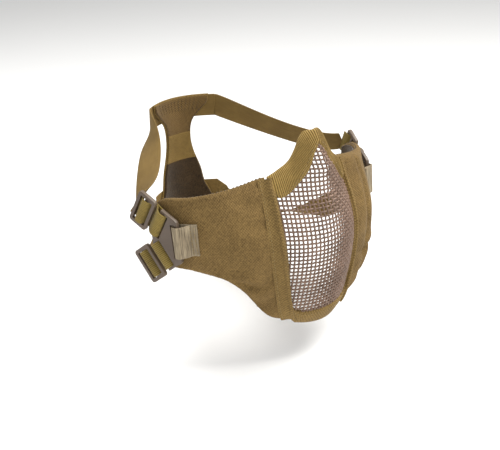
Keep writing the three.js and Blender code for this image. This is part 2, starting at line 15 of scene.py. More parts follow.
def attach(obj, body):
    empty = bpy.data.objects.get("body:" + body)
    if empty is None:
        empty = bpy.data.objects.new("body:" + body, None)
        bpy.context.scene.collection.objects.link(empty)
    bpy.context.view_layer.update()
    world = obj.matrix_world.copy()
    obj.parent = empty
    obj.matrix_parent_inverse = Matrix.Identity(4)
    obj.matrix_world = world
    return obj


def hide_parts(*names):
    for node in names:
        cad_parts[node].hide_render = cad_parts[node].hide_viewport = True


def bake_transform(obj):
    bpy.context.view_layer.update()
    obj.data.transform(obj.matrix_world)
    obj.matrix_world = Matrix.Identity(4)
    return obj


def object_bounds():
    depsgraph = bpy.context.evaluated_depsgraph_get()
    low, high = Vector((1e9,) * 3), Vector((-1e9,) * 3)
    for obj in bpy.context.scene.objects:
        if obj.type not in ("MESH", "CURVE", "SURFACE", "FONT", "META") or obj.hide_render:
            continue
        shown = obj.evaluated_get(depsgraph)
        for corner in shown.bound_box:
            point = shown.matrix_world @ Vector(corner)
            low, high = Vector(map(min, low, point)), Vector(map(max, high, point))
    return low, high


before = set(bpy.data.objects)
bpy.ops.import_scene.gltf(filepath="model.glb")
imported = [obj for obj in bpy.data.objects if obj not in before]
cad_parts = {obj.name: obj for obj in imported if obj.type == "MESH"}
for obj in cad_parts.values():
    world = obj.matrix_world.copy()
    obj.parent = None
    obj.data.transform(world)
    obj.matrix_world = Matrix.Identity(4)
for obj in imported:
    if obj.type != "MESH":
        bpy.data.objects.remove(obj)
cad_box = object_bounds()
scene = bpy.context.scene
MM = 0.001

# ---- sizes, the same as the CAD model's ------------------------------------------------------
GUARD_HEIGHT, GUARD_WIDTH, GUARD_DEPTH, CHIN_DROP = 157.0, 76.6, 38.0, 80.5
CHEEK_REACH = 95.5
CHEEK_SPLAY, CHEEK_SPLAY_FRONT, CHEEK_SPLAY_REAR = 39.5, 72.0, 1.0
HARNESS_REACH, PAD_WIDTH, PAD_HEIGHT, PAD_MID, PAD_RADIUS = 169.0, 58.0, 104.0, 12.0, 42.0
STRAP_WIDTH, STRAP_THICKNESS, LOOP_WIDTH, LOOP_THICKNESS = 20.0, 1.2, 25.0, 1.0
GAP = 0.3
SHELL_THICKNESS, FOAM_THICKNESS, LINING_THICKNESS, PAD_THICKNESS = 1.0, 4.0, 1.0, 1.6
PLATE_SETBACK, PLATE_THICKNESS, PLATE_LIFT, PLATE_TURN, PLATE_DROOP = 17.5, 3.0, 6.8, 2.0, 5.0
STRAP_ANGLE, SLOT_CLEARANCE, PLATE_BAR = 33.0, 1.0, 3.5
REAR_SLOT_OFFSET, REAR_SLOT_HALF, FRONT_SLOT_OFFSET, FRONT_SLOT_HALF = 4.5, 2.1, -6.5, 1.9
ADJUSTER_DISTANCE, ADJUSTER_SLOT, ADJUSTER_BAR, ADJUSTER_MIDDLE_BAR = 20.0, 4.6, 2.7, 2.4
STRAP_OVERLAP, STRAP_CLEAR, STRAP_TUCK, STRAP_LEAD = 17.0, 6.0, 18.0, 9.0
STRAP_TWIST = {
    ("upper", "right"): 60.0, ("upper", "left"): -10.0,
    ("lower", "right"): 90.0, ("lower", "left"): -90.0,
}
STRAP_SAG = {"upper": (12.0, 2.0), "lower": (12.0, 30.0)}

# Rows: share of the height, half width, depth at the edge, depth in the middle, power of the section.
GUARD_STATIONS = [
    (0, 0.5, 0.33, 0.56, 2), (0.071, 0.73, 0.42, 0.68, 2), (0.187, 0.85, 0.47, 0.82, 2),
    (0.329, 0.95, 0.505, 0.95, 2), (0.471, 1, 0.48, 1, 2), (0.594, 0.99, 0.34, 0.92, 1.9),
    (0.69, 0.953, 0.18, 0.8, 1.7), (0.79, 0.914, 0, 0.76, 1.5),
    (0.819, 0.72, 0.09, 0.77, 1.45), (0.858, 0.52, 0.18, 0.69, 1.4), (0.91, 0.38, 0.21, 0.57, 1.5),
    (0.961, 0.27, 0.21, 0.44, 1.7), (1, 0.08, 0.29, 0.355, 2),
]
# Rows: share of the height, half width of the opening that the mesh fills.
OPENING_STATIONS = [
    (0.09, 0.5), (0.119, 0.7), (0.187, 0.77), (0.329, 0.85), (0.471, 0.9), (0.594, 0.9), (0.671, 0.87),
    (0.702, 0.74), (0.781, 0.44), (0.845, 0.235), (0.897, 0.12), (0.939, 0.03),
]
# Rows: share of the length behind the seam, foot, top.
CHEEK_STATIONS = [
    (0, -73.5, 43.8), (0.07, -73, 43), (0.15, -68, 41.5), (0.22, -58, 40.2), (0.3, -44.5, 38.8),
    (0.38, -36, 37.6), (0.47, -30.5, 36.2), (0.68, -26, 33.2), (0.88, -26, 30.5), (1, -24, 25),
]
# Rows: share of the pad's height, share of its width.
PAD_STATIONS = [
    (0, 1), (0.08, 0.98), (0.2, 0.8), (0.34, 0.7), (0.5, 0.52),
    (0.63, 0.45), (0.77, 0.52), (0.88, 0.82), (0.93, 0.97), (1, 1),
]
SEAM_TOP_SHARE, SEAM_FOOT_SHARE, CORNER_SHARE = 0.79, 0.036, 0.699


def read_table(table, keys, column):
    """A smooth curve through a table's rows, read at each key."""
    rows = np.array(table, float)
    x, y = rows[:, 0], rows[:, column]
    slopes = np.empty_like(y)
    slopes[1:-1] = (y[2:] - y[:-2]) / (x[2:] - x[:-2])
    slopes[0], slopes[-1] = (y[1] - y[0]) / (x[1] - x[0]), (y[-1] - y[-2]) / (x[-1] - x[-2])
    k = np.clip(np.asarray(keys, float), x[0], x[-1])
    i = np.clip(np.searchsorted(x, k, side="left") - 1, 0, len(x) - 2)
    h = x[i + 1] - x[i]
    t = (k - x[i]) / h
    t2, t3 = t * t, t * t * t
    return (
        (2 * t3 - 3 * t2 + 1) * y[i] + (t3 - 2 * t2 + t) * h * slopes[i]
        + (3 * t2 - 2 * t3) * y[i + 1] + (t3 - t2) * h * slopes[i + 1]
    )


def bezier(controls, t):
    """Points on a cubic curve through four controls."""
    weights = [(1 - t) ** 3, 3 * t * (1 - t) ** 2, 3 * t * t * (1 - t), t ** 3]
    return sum(c * w for c, w in zip(controls, weights))


def run_along(points):
    """Distance along a line at each of its points."""
    return np.concatenate([[0], np.cumsum(np.linalg.norm(np.diff(points, axis=0), axis=1))])


HALF_WIDTH = GUARD_WIDTH / 2
level_at = lambda share: share * GUARD_HEIGHT - CHIN_DROP
share_at = lambda z: (np.asarray(z, float) + CHIN_DROP) / GUARD_HEIGHT
guard_half = lambda z: HALF_WIDTH * read_table(GUARD_STATIONS, share_at(z), 1)
opening_half = lambda z: HALF_WIDTH * read_table(OPENING_STATIONS, share_at(z), 1)


def guard_y(x, z):
    share = share_at(z)
    edge, middle = read_table(GUARD_STATIONS, share, 2), read_table(GUARD_STATIONS, share, 3)
    across = np.minimum(1, np.abs(x) / guard_half(z))
    return -GUARD_DEPTH * (edge + (middle - edge) * (1 - across ** read_table(GUARD_STATIONS, share, 4)))


def guard_point(x, z, offset):
    """Points in front of the guard's middle surface by an offset."""
    x, z, offset = np.broadcast_arrays(np.asarray(x, float), np.asarray(z, float), np.asarray(offset, float))
    d = 0.5
    n = np.stack([
        (guard_y(x + d, z) - guard_y(x - d, z)) / (2 * d), -np.ones_like(x),
        (guard_y(x, z + d) - guard_y(x, z - d)) / (2 * d),
    ], -1)
    n /= np.linalg.norm(n, axis=-1, keepdims=True)
    return np.stack([x, guard_y(x, z), z], -1) + n * offset[..., None]


def heading(degrees):
    return np.array([math.sin(math.radians(degrees)), math.cos(math.radians(degrees))])


def seam_in_plan(level):
    half = guard_half(level)
    return np.array([float(half), float(guard_y(half, level))])


MOUTH_SHARE = 0.437
MOUTH_SEAM = seam_in_plan(level_at(MOUTH_SHARE))
CHEEK_REAR = MOUTH_SEAM + heading(CHEEK_SPLAY) * CHEEK_REACH
CHEEK_BEFORE_REAR = CHEEK_REAR - heading(CHEEK_SPLAY_REAR) * CHEEK_REACH / 3


def cheek_length():
    """Length of the cheek's line in plan, level with the strap plates."""
    seam_at = seam_in_plan(0)
    after_seam = seam_at + heading(CHEEK_SPLAY_FRONT) * CHEEK_REACH / 3
    line = bezier([seam_at, after_seam, CHEEK_BEFORE_REAR, CHEEK_REAR], np.linspace(0, 1, 41)[:, None])
    return float(run_along(line)[-1])


CHEEK_LENGTH = cheek_length()


def cheek_point(side, s, z, offset):
    """Points on a cheek: share of its length behind the seam, level, and offset outwards.

    side is -1 for the wearer's right.
    """
    s, z, offset = np.broadcast_arrays(np.asarray(s, float), np.asarray(z, float), np.asarray(offset, float))
    shape = s.shape
    s, z, offset = s.ravel(), z.ravel(), offset.ravel()
    zc = np.clip(z, level_at(SEAM_FOOT_SHARE), level_at(SEAM_TOP_SHARE))
    x0 = guard_half(zc)
    p0 = np.stack([x0, guard_y(x0, zc)], -1)
    p1 = p0 + heading(CHEEK_SPLAY_FRONT) * CHEEK_REACH / 3
    controls = [p0, p1, np.broadcast_to(CHEEK_BEFORE_REAR, p0.shape), np.broadcast_to(CHEEK_REAR, p0.shape)]
    on_curve = lambda t: bezier(controls, t[..., None])
    ts = np.linspace(0, 1, 41)
    line = np.stack([on_curve(np.full(len(s), t)) for t in ts], 1)
    steps = np.linalg.norm(np.diff(line, axis=1), axis=-1)
    run = np.concatenate([np.zeros((len(s), 1)), np.cumsum(steps, 1)], 1)
    t = np.array([np.interp(k * r[-1], r, ts) for k, r in zip(s, run)])
    at = on_curve(t)
    along = on_curve(np.minimum(t + 1e-3, 1)) - on_curve(np.maximum(t - 1e-3, 0))
    along /= np.linalg.norm(along, axis=-1, keepdims=True)
    beyond = np.where(s < 0, s * CHEEK_LENGTH, 0)
    out = np.stack([
        side * (at[:, 0] + along[:, 0] * beyond + along[:, 1] * offset),
        at[:, 1] + along[:, 1] * beyond - along[:, 0] * offset, z,
    ], -1)
    return out.reshape(*shape, 3)


# ---- mesh makers ------------------------------------------------------------------------------
def make_mesh(name, points, faces, uvs=None, smooth=True):
    """A mesh from points in millimetres. uvs gives a pair for each point, in millimetres too."""
    mesh = bpy.data.meshes.new(name)
    mesh.from_pydata((np.asarray(points, float) * MM).tolist(), [], [list(map(int, f)) for f in faces])
    if uvs is not None:
        layer = mesh.uv_layers.new(name="cloth")
        index = np.empty(len(mesh.loops), int)
        mesh.loops.foreach_get("vertex_index", index)
        layer.data.foreach_set("uv", (np.asarray(uvs, float)[index] * 0.01).ravel().astype(np.float32))
    mesh.validate()
    bm = bmesh.new()
    bm.from_mesh(mesh)
    bmesh.ops.recalc_face_normals(bm, faces=bm.faces)
    bm.to_mesh(mesh)
    bm.free()
    mesh.polygons.foreach_set("use_smooth", [smooth] * len(mesh.polygons))
    mesh.set_sharp_from_angle(angle=math.radians(60))
    obj = bpy.data.objects.new(name, mesh)
    scene.collection.objects.link(obj)
    return obj


def unit(v):
    v = np.asarray(v, float)
    return v / np.maximum(np.linalg.norm(v, axis=-1, keepdims=True), 1e-9)


def sweep(sections, closed_ring=True, caps=True):
    """Points and faces of a tube through sections, an array of stations by ring points by 3."""
    sections = np.asarray(sections, float)
    n, k = sections.shape[:2]
    faces = []
    for i in range(n - 1):
        for j in range(k if closed_ring else k - 1):
            a, b = i * k + j, i * k + (j + 1) % k
            faces.append((a, b, b + k, a + k))
    if caps:
        faces.append(tuple(range(k))[::-1])
        faces.append(tuple(range((n - 1) * k, n * k)))
    return sections.reshape(-1, 3), faces


class Gather:
    """Several closed shells joined in one mesh."""

    def __init__(self):
        self.points, self.faces, self.uvs, self.count = [], [], [], 0

    def add(self, points, faces, uvs=None):
        points = np.asarray(points, float).reshape(-1, 3)
        self.faces += [tuple(i + self.count for i in f) for f in faces]
        self.points.append(points)
        self.uvs.append(np.zeros((len(points), 2)) if uvs is None else np.asarray(uvs, float))
        self.count += len(points)

    def make(self, name, smooth=True):
        return make_mesh(name, np.concatenate(self.points), self.faces, np.concatenate(self.uvs), smooth)


def resample(points, step):
    """A smooth line through points, with stations about a step apart."""
    p = np.asarray(points, float)
    ends = np.concatenate([[2 * p[0] - p[1]], p, [2 * p[-1] - p[-2]]])
    out = []
    for i in range(len(p) - 1):
        a, b, c, d = ends[i : i + 4]
        n = max(1, int(math.ceil(np.linalg.norm(c[:3] - b[:3]) / step)))
        for j in range(n):
            t = j / n
            bend, twist = 2 * a - 5 * b + 4 * c - d, 3 * b - a - 3 * c + d
            out.append(0.5 * (2 * b + (c - a) * t + bend * t * t + twist * t ** 3))
    out.append(p[-1])
    return np.array(out)


def circles(at, side, up, radius, angles):
    """A circle of points about each station."""
    cos, sin = np.cos(angles)[None, :, None], np.sin(angles)[None, :, None]
    return at[:, None] + radius * (side[:, None] * cos + up[:, None] * sin)


def ribbon(at, across, width, thickness, cord=0.0, cord_pitch=1.4, edge=8):
    """Webbing along stations, with rounded edges and, if asked, raised cords along it.

    Returns points, faces and uvs.
    """
    at, across = np.asarray(at, float), unit(across)
    along = unit(np.gradient(at, axis=0))
    up = unit(np.cross(along, across))
    run = run_along(at)
    ring = []
    half, t = width / 2, thickness / 2
    for i in range(edge // 2 + 1):
        a = math.pi / 2 - math.pi * i / (edge // 2)
        ring.append((half - t + t * math.cos(a), t * math.sin(a)))
    inner = np.linspace(half - t, -half + t, int(width / 0.35) if cord else 6)[1:-1]
    bow = lambda x: t + cord * np.cos(2 * math.pi * x / cord_pitch)
    below, above = [(x, -bow(x)) for x in inner], [(x, bow(x)) for x in inner[::-1]]
    ring = np.array(ring + below + [(-x, -y) for x, y in ring] + above)
    sections = at[:, None] + across[:, None] * ring[None, :, :1] + up[:, None] * ring[None, :, 1:]
    points, faces = sweep(sections)
    uvs = np.stack([np.repeat(run, len(ring)), np.tile(ring[:, 0] + half, len(run))], -1)
    return points, faces, uvs


def pillow(place, us, vs, top, bottom, u_size, v_size):
    """A closed sheet with rounded edges: two grids that share their border.

    place(u, v, offset) gives points.
    """
    u, v = np.meshgrid(us, vs, indexing="ij")
    upper, lower = place(u, v, top(u, v)), place(u, v, bottom(u, v))
    n, m = u.shape
    ids_top = np.arange(n * m).reshape(n, m)
    ids_low = ids_top.copy()
    inner = np.zeros((n, m), bool)
    inner[1:-1, 1:-1] = True
    ids_low[inner] = n * m + np.arange(inner.sum())
    points = np.concatenate([upper.reshape(-1, 3), lower[inner]])
    uv = np.stack([u * u_size, v * v_size], -1)
    uvs = np.concatenate([uv.reshape(-1, 2), uv[inner]])
    faces = []
    for i in range(n - 1):
        for j in range(m - 1):
            faces.append((ids_top[i, j], ids_top[i + 1, j], ids_top[i + 1, j + 1], ids_top[i, j + 1]))
            faces.append((ids_low[i, j], ids_low[i, j + 1], ids_low[i + 1, j + 1], ids_low[i + 1, j]))
    return points, faces, uvs


def edge_spaced(n, size, reach, extra=3):
    """Shares from 0 to 1, closer together near both ends."""
    inner = np.linspace(reach / size, 1 - reach / size, n)
    near = reach / size * (1 - np.cos(np.linspace(0, math.pi / 2, extra + 1)))[:-1]
    return np.concatenate([near, inner, 1 - near[::-1]])


def rounded(u, v, u_size, v_size, radius):
    """Height of a rounded edge: 0 at a border, 1 at the radius and inside."""
    d = np.minimum.reduce([u * u_size, (1 - u) * u_size, v * v_size, (1 - v) * v_size])
    return np.sqrt(np.clip(1 - (1 - np.minimum(d / radius, 1)) ** 2, 0, 1))


def stitches(gather, line, normals, length=2.2, gap=1.1, radius=0.28, lift=0.12):
    """A row of sewn stitches, each a small thread that dips at its ends."""
    line, normals = np.asarray(line, float), unit(normals)
    run = run_along(line)
    start = gap / 2
    while start + length < run[-1]:
        stations = np.linspace(start, start + length, 5)
        at = np.stack([np.interp(stations, run, line[:, k]) for k in range(3)], -1)
        n = unit(np.stack([np.interp(stations, run, normals[:, k]) for k in range(3)], -1))
        bow = np.array([-0.9, 0.35, 0.75, 0.35, -0.9])[:, None] * radius + lift
        at = at + n * bow
        along = unit(np.gradient(at, axis=0))
        side = unit(np.cross(along, n))
        up = np.cross(side, along)
        size = radius * np.array([0.55, 0.95, 1, 0.95, 0.55])
        angles = np.arange(6) * math.pi / 3
        rings = circles(at, side, up, size[:, None, None], angles)
        gather.add(*sweep(rings))
        start += length + gap


# ---- materials --------------------------------------------------------------------------------
def colour(r, g, b):
    """Linear colour from an sRGB one in 0 to 255."""
    def lin(c):
        c /= 255
        return c / 12.92 if c <= 0.04045 else ((c + 0.055) / 1.055) ** 2.4
    return (lin(r), lin(g), lin(b), 1)


class Nodes:
    """A material's node tree, with short ways to add the nodes used here."""

    def __init__(self, name, roughness, metallic=0.0, sheen=0.0, specular=0.5):
        self.material = bpy.data.materials.new(name)
        self.material.use_nodes = True
        self.tree = self.material.node_tree
        self.shader = self.tree.nodes["Principled BSDF"]
        self.shader.inputs["Roughness"].default_value = roughness
        self.shader.inputs["Metallic"].default_value = metallic
        self.shader.inputs["Sheen Weight"].default_value = sheen
        self.shader.inputs["Sheen Roughness"].default_value = 0.4
        self.shader.inputs["Specular IOR Level"].default_value = specular

    def new(self, kind, **values):
        node = self.tree.nodes.new(kind)
        for k, v in values.items():
            setattr(node, k, v)
        return node

    def link(self, a, b):
        self.tree.links.new(a, b)

    def maths(self, operation, a, b=None, clamp=False):
        node = self.new("ShaderNodeMath", operation=operation, use_clamp=clamp)
        for i, x in enumerate((a, b)):
            if x is None:
                continue
            if isinstance(x, (int, float)):
                node.inputs[i].default_value = x
            else:
                self.link(x, node.inputs[i])
        return node.outputs[0]

    def times(self, a, b, **more):
        return self.maths("MULTIPLY", a, b, **more)

    def plus(self, a, b, **more):
        return self.maths("ADD", a, b, **more)

    def noise(self, scale, detail=3.0, coordinate="Object", stretch=None, roughness=0.55):
        coords = self.new("ShaderNodeTexCoord").outputs[coordinate]
        if stretch:
            mapping = self.new("ShaderNodeMapping")
            mapping.inputs["Scale"].default_value = stretch
            self.link(coords, mapping.inputs["Vector"])
            coords = mapping.outputs["Vector"]
        node = self.new("ShaderNodeTexNoise")
        node.inputs["Scale"].default_value = scale
        node.inputs["Detail"].default_value = detail
        node.inputs["Roughness"].default_value = roughness
        self.link(coords, node.inputs["Vector"])
        return node.outputs["Fac"]

    def cloth_uv(self):
        """Millimetres along and across the cloth."""
        uv = self.new("ShaderNodeUVMap", uv_map="cloth").outputs["UV"]
        parts = self.new("ShaderNodeSeparateXYZ")
        self.link(uv, parts.inputs[0])
        return self.times(parts.outputs[0], 100.0), self.times(parts.outputs[1], 100.0)

    def wave(self, value, pitch, phase=0.0):
        """A wave from 0 to 1 with a pitch in millimetres."""
        turned = self.plus(self.times(value, 2 * math.pi / pitch), phase)
        return self.plus(self.times(self.maths("SINE", turned), 0.5), 0.5)

    def mix(self, factor, a, b):
        node = self.new("ShaderNodeMix", data_type="RGBA")
        if isinstance(factor, (int, float)):
            node.inputs["Factor"].default_value = factor
        else:
            self.link(factor, node.inputs["Factor"])
        for x, slot in ((a, 6), (b, 7)):
            if isinstance(x, tuple):
                node.inputs[slot].default_value = x
            else:
                self.link(x, node.inputs[slot])
        return node.outputs[2]

    def span(self, value, low, high, to_low=0.0, to_high=1.0):
        node = self.new("ShaderNodeMapRange")
        for i, x in enumerate((low, high, to_low, to_high)):
            node.inputs[i + 1].default_value = x
        self.link(value, node.inputs[0])
        return node.outputs[0]

    def finish(self, base, height=None, strength=0.6, distance=0.0003, rough=None):
        self.link(base, self.shader.inputs["Base Color"])
        if height is not None:
            bump = self.new("ShaderNodeBump")
            bump.inputs["Strength"].default_value = strength
            bump.inputs["Distance"].default_value = distance
            self.link(height, bump.inputs["Height"])
            self.link(bump.outputs[0], self.shader.inputs["Normal"])
        if rough is not None:
            self.link(rough, self.shader.inputs["Roughness"])
        return self.material


def woven(name, light, dark, along, across, depth=0.5, mottle=0.35, roughness=0.88, twill=False, sheen=0.15):
    """Woven cloth: threads at two pitches in millimetres, with slubs and mottling, and painted shade that
    darkens the gaps between the raised threads.
    """
    n = Nodes(name, roughness, sheen=sheen, specular=0.25)
    u, v = n.cloth_uv()
    wobble = n.noise(260, 2)
    u = n.plus(u, n.times(wobble, 0.5))
    if twill:
        lean = n.plus(u, v)
        weave = n.times(n.wave(lean, along), n.plus(n.times(n.wave(v, across), 0.5), 0.5))
    else:
        warp, weft = n.times(u, math.pi / along), n.times(v, math.pi / across)
        phase = n.times(n.maths("SINE", warp), n.maths("SINE", weft))
        weave = n.plus(n.times(phase, 0.5), 0.5)
    slub = n.noise(620, 3)
    cloud = n.noise(45, 4)
    height = n.plus(weave, n.times(slub, 0.5))
    # painted shade: the weave height also darkens the colour in the gaps between threads
    shade = n.plus(n.times(weave, depth), n.times(n.span(cloud, 0.3, 0.7), mottle))
    shade = n.plus(shade, n.times(n.span(slub, 0.3, 0.7), 1 - depth - mottle), clamp=True)
    return n.finish(n.mix(shade, colour(*dark), colour(*light)), height, 0.7, 0.00035)


def ribbed(name, light, dark, pitch, depth=0.55, streak=0.0, roughness=0.85, sheen=0.12, lengthwise=False):
    """Webbing with ribs at a pitch in millimetres, across its length or along it, and with fine streaks."""
    n = Nodes(name, roughness, sheen=sheen, specular=0.3)
    u, v = n.cloth_uv()
    rib, fine = (n.wave(v, pitch), n.wave(u, 0.9)) if lengthwise else (n.wave(u, pitch), n.wave(v, 0.9))
    streaks = n.noise(1.0, 3, "UV", (150.0, 7.0, 1.0)) if streak else n.noise(1.0, 2, "UV", (8.0, 120.0, 1.0))
    cloud = n.noise(60, 3)
    height = n.plus(rib, n.times(fine, 0.3))
    # painted shade: the rib height also darkens the colour in the grooves between ribs
    shade = n.plus(n.times(rib, depth), n.times(n.span(streaks, 0.3, 0.7), 0.2 + streak))
    shade = n.plus(shade, n.times(n.span(cloud, 0.3, 0.7), 0.25), clamp=True)
    return n.finish(n.mix(shade, colour(*dark), colour(*light)), height, 0.7, 0.0003)


def plastic(name, base, edge):
    """Moulded plastic: fine spark texture, flow marks, and a painted highlight on the convex edges, mixed
    towards a lighter colour.
    """
    n = Nodes(name, 0.42, specular=0.5)
    grain, flow = n.noise(1400, 2), n.noise(38, 3, stretch=(1, 1, 3))
    bend = n.new("ShaderNodeNewGeometry").outputs["Pointiness"]
    # painted highlight: convex edges, found by pointiness, are mixed towards the second, lighter colour
    edge_highlight = n.span(bend, 0.525, 0.64, 0, 0.8)
    tone = n.mix(n.span(flow, 0.3, 0.7, 0, 0.5), colour(*base), colour(*[min(255, c * 1.22) for c in base]))
    rough = n.span(n.plus(n.times(grain, 0.5), n.times(flow, 0.5)), 0.3, 0.7, 0.34, 0.52)
    return n.finish(n.mix(edge_highlight, tone, colour(*edge)), grain, 0.25, 0.00012, rough)


def painted_wire(name):
    """Satin coat over steel wire, flecked lighter and pinker by fine noise, with painted shade in the hollows
    low in the weave.
    """
    n = Nodes(name, 0.46, metallic=0.15, specular=0.6)
    grain, cloud = n.noise(1100, 2), n.noise(55, 3)
    bend = n.new("ShaderNodeNewGeometry").outputs["Pointiness"]
    tone = n.mix(n.span(cloud, 0.3, 0.7), colour(100, 76, 60), colour(134, 106, 88))
    tone = n.mix(n.span(grain, 0.45, 0.75, 0, 0.35), tone, colour(178, 152, 132))
    # painted shade: spots of low pointiness, the hollows where wires cross, are darkened towards dark brown
    tone = n.mix(n.span(bend, 0.42, 0.5, 0.55, 0.0), tone, colour(58, 42, 34))
    return n.finish(tone, grain, 0.3, 0.0001, n.span(grain, 0.3, 0.7, 0.36, 0.56))


def plain_thread(name, tone):
    n = Nodes(name, 0.7, sheen=0.1)
    twist = n.noise(1500, 1)
    shaded = colour(*[c * 0.78 for c in tone])
    return n.finish(n.mix(n.span(twist, 0.3, 0.7), shaded, colour(*tone)), twist, 0.4, 0.0001)


def napped(name, light, dark):
    """Brushed loop or knit: soft, dark and without a clear weave."""
    n = Nodes(name, 0.97, sheen=0.35, specular=0.15)
    fuzz, cloud = n.noise(700, 4, roughness=0.7), n.noise(60, 3)
    shade = n.plus(n.times(n.span(fuzz, 0.3, 0.7), 0.65), n.times(n.span(cloud, 0.3, 0.7), 0.35), clamp=True)
    return n.finish(n.mix(shade, colour(*dark), colour(*light)), fuzz, 0.8, 0.0004)


CLOTH = woven("pack_cloth", (148, 120, 72), (70, 52, 26), 1.05, 1.15, depth=0.36, mottle=0.24, sheen=0.05)
BINDING = woven("binding_cloth", (158, 130, 78), (76, 58, 30), 1.1, 1.3, depth=0.5, mottle=0.2, sheen=0.05)
NOSE_WEB = ribbed("nose_webbing", (184, 153, 88), (72, 54, 24), 1.3, depth=0.65, sheen=0.04)
STRAP_WEB = ribbed("strap_webbing", (152, 124, 68), (106, 83, 42), 0.8, depth=0.25, sheen=0.02)
SHORT_WEB = ribbed("ribbed_elastic", (156, 134, 70), (66, 52, 22), 1.4, depth=0.7, lengthwise=True)
LOOP_WEB = ribbed("loop_webbing", (178, 162, 134), (66, 54, 40), 0.8, depth=0.1, streak=0.7, sheen=0.03)
PAD_WEB = woven("pad_webbing", (152, 124, 68), (84, 65, 31), 1.3, 0.9, sheen=0.05, depth=0.55, mottle=0.2)
PAD_TOP = woven("pad_lining_cloth", (126, 99, 56), (74, 56, 28), 1.0, 1.0, depth=0.45, mottle=0.25)
# very dark brown for the head pad's lower piece: painted shade, for the shade that lies on the pad's lower
# part
PAD_LOWER_PAINTED_SHADE = napped("pad_lower_painted_shade", (74, 57, 36), (36, 26, 14))
LINING = napped("brushed_lining", (84, 66, 42), (44, 33, 18))
# the second colour is a painted highlight for the convex edges
PLASTIC = plastic("moulded_plastic", (86, 72, 60), (150, 134, 112))
WIRE = painted_wire("coated_wire")
THREAD = plain_thread("thread", (158, 132, 80))
DARK_THREAD = plain_thread("dark_thread", (66, 50, 28))


def dress(obj, material):
    obj.data.materials.clear()
    obj.data.materials.append(material)
    return obj


# ---- camera, floor and light --------------------------------------------------------------------
def aim_camera():
    azimuth, elevation, roll = math.radians(-38), math.radians(23.5), math.radians(1.8)
    distance, sensor_width, lens = 700.0, 36.0, 65.52
    beside_middle, above_middle = 39.6154, 41.1538
    level_part = math.cos(elevation)
    right = np.array([math.cos(azimuth), math.sin(azimuth), 0])
    back = np.array([math.sin(azimuth) * level_part, -math.cos(azimuth) * level_part, math.sin(elevation)])
    up = np.cross(back, right)
    turned_right = right * math.cos(roll) - up * math.sin(roll)
    turned_up = up * math.cos(roll) + right * math.sin(roll)
    panel_top_level = np.array([0, 0, 39.0])
    at = panel_top_level - turned_right * beside_middle - turned_up * above_middle + back * distance
    camera = bpy.data.objects.new("camera", bpy.data.cameras.new("camera"))
    scene.collection.objects.link(camera)
    rotation = Matrix([list(turned_right), list(turned_up), list(back)]).transposed()
    camera.matrix_world = Matrix.Translation(Vector(at * MM)) @ rotation.to_4x4()
    camera.data.sensor_width = sensor_width
    camera.data.lens = lens
    camera.data.clip_start = 0.01
    scene.camera = camera


def add_light(name, kind, energy, place, aim, size=0.5, tint=(1, 1, 1)):
    data = bpy.data.lights.new(name, kind)
    data.energy = energy
    data.color = tint
    if kind == "AREA":
        data.size = size
    light = bpy.data.objects.new(name, data)
    light.location = place
    light.rotation_euler = (Vector(aim) - Vector(place)).to_track_quat("-Z", "Y").to_euler()
    scene.collection.objects.link(light)


def set_stage():
    aim_camera()
    half, drop = 3000, 30
    floor_z = cad_box[0][2] / MM - drop
    corners = [(x, y, floor_z) for x, y in ((-half, -half), (half, -half), (half, half), (-half, half))]
    floor = make_mesh("floor", corners, [(0, 1, 2, 3)])
    floor_paint = Nodes("floor_paint", 0.9)
    floor_paint.finish(floor_paint.mix(floor_paint.noise(2), colour(250, 250, 249), colour(246, 246, 245)))
    floor.data.materials.append(floor_paint.material)
    world = bpy.data.worlds.new("studio")
    world.use_nodes = True
    world.node_tree.nodes["Background"].inputs[0].default_value = (1, 1, 1, 1)
    world.node_tree.nodes["Background"].inputs[1].default_value = 0.5
    scene.world = world
    add_light("key", "AREA", 22.0, (0.6, -0.3, 1.15), (0, 0.03, 0), 0.7, (1, 0.985, 0.96))
    add_light("fill", "AREA", 3.2, (-0.8, -0.7, 0.5), (0, 0, 0), 0.6)
    add_light("rim", "AREA", 5.0, (-0.2, 0.8, 0.9), (0, 0.05, 0), 0.5)
    scene.view_settings.view_transform = "Standard"
    scene.view_settings.exposure = 0.0


set_stage()


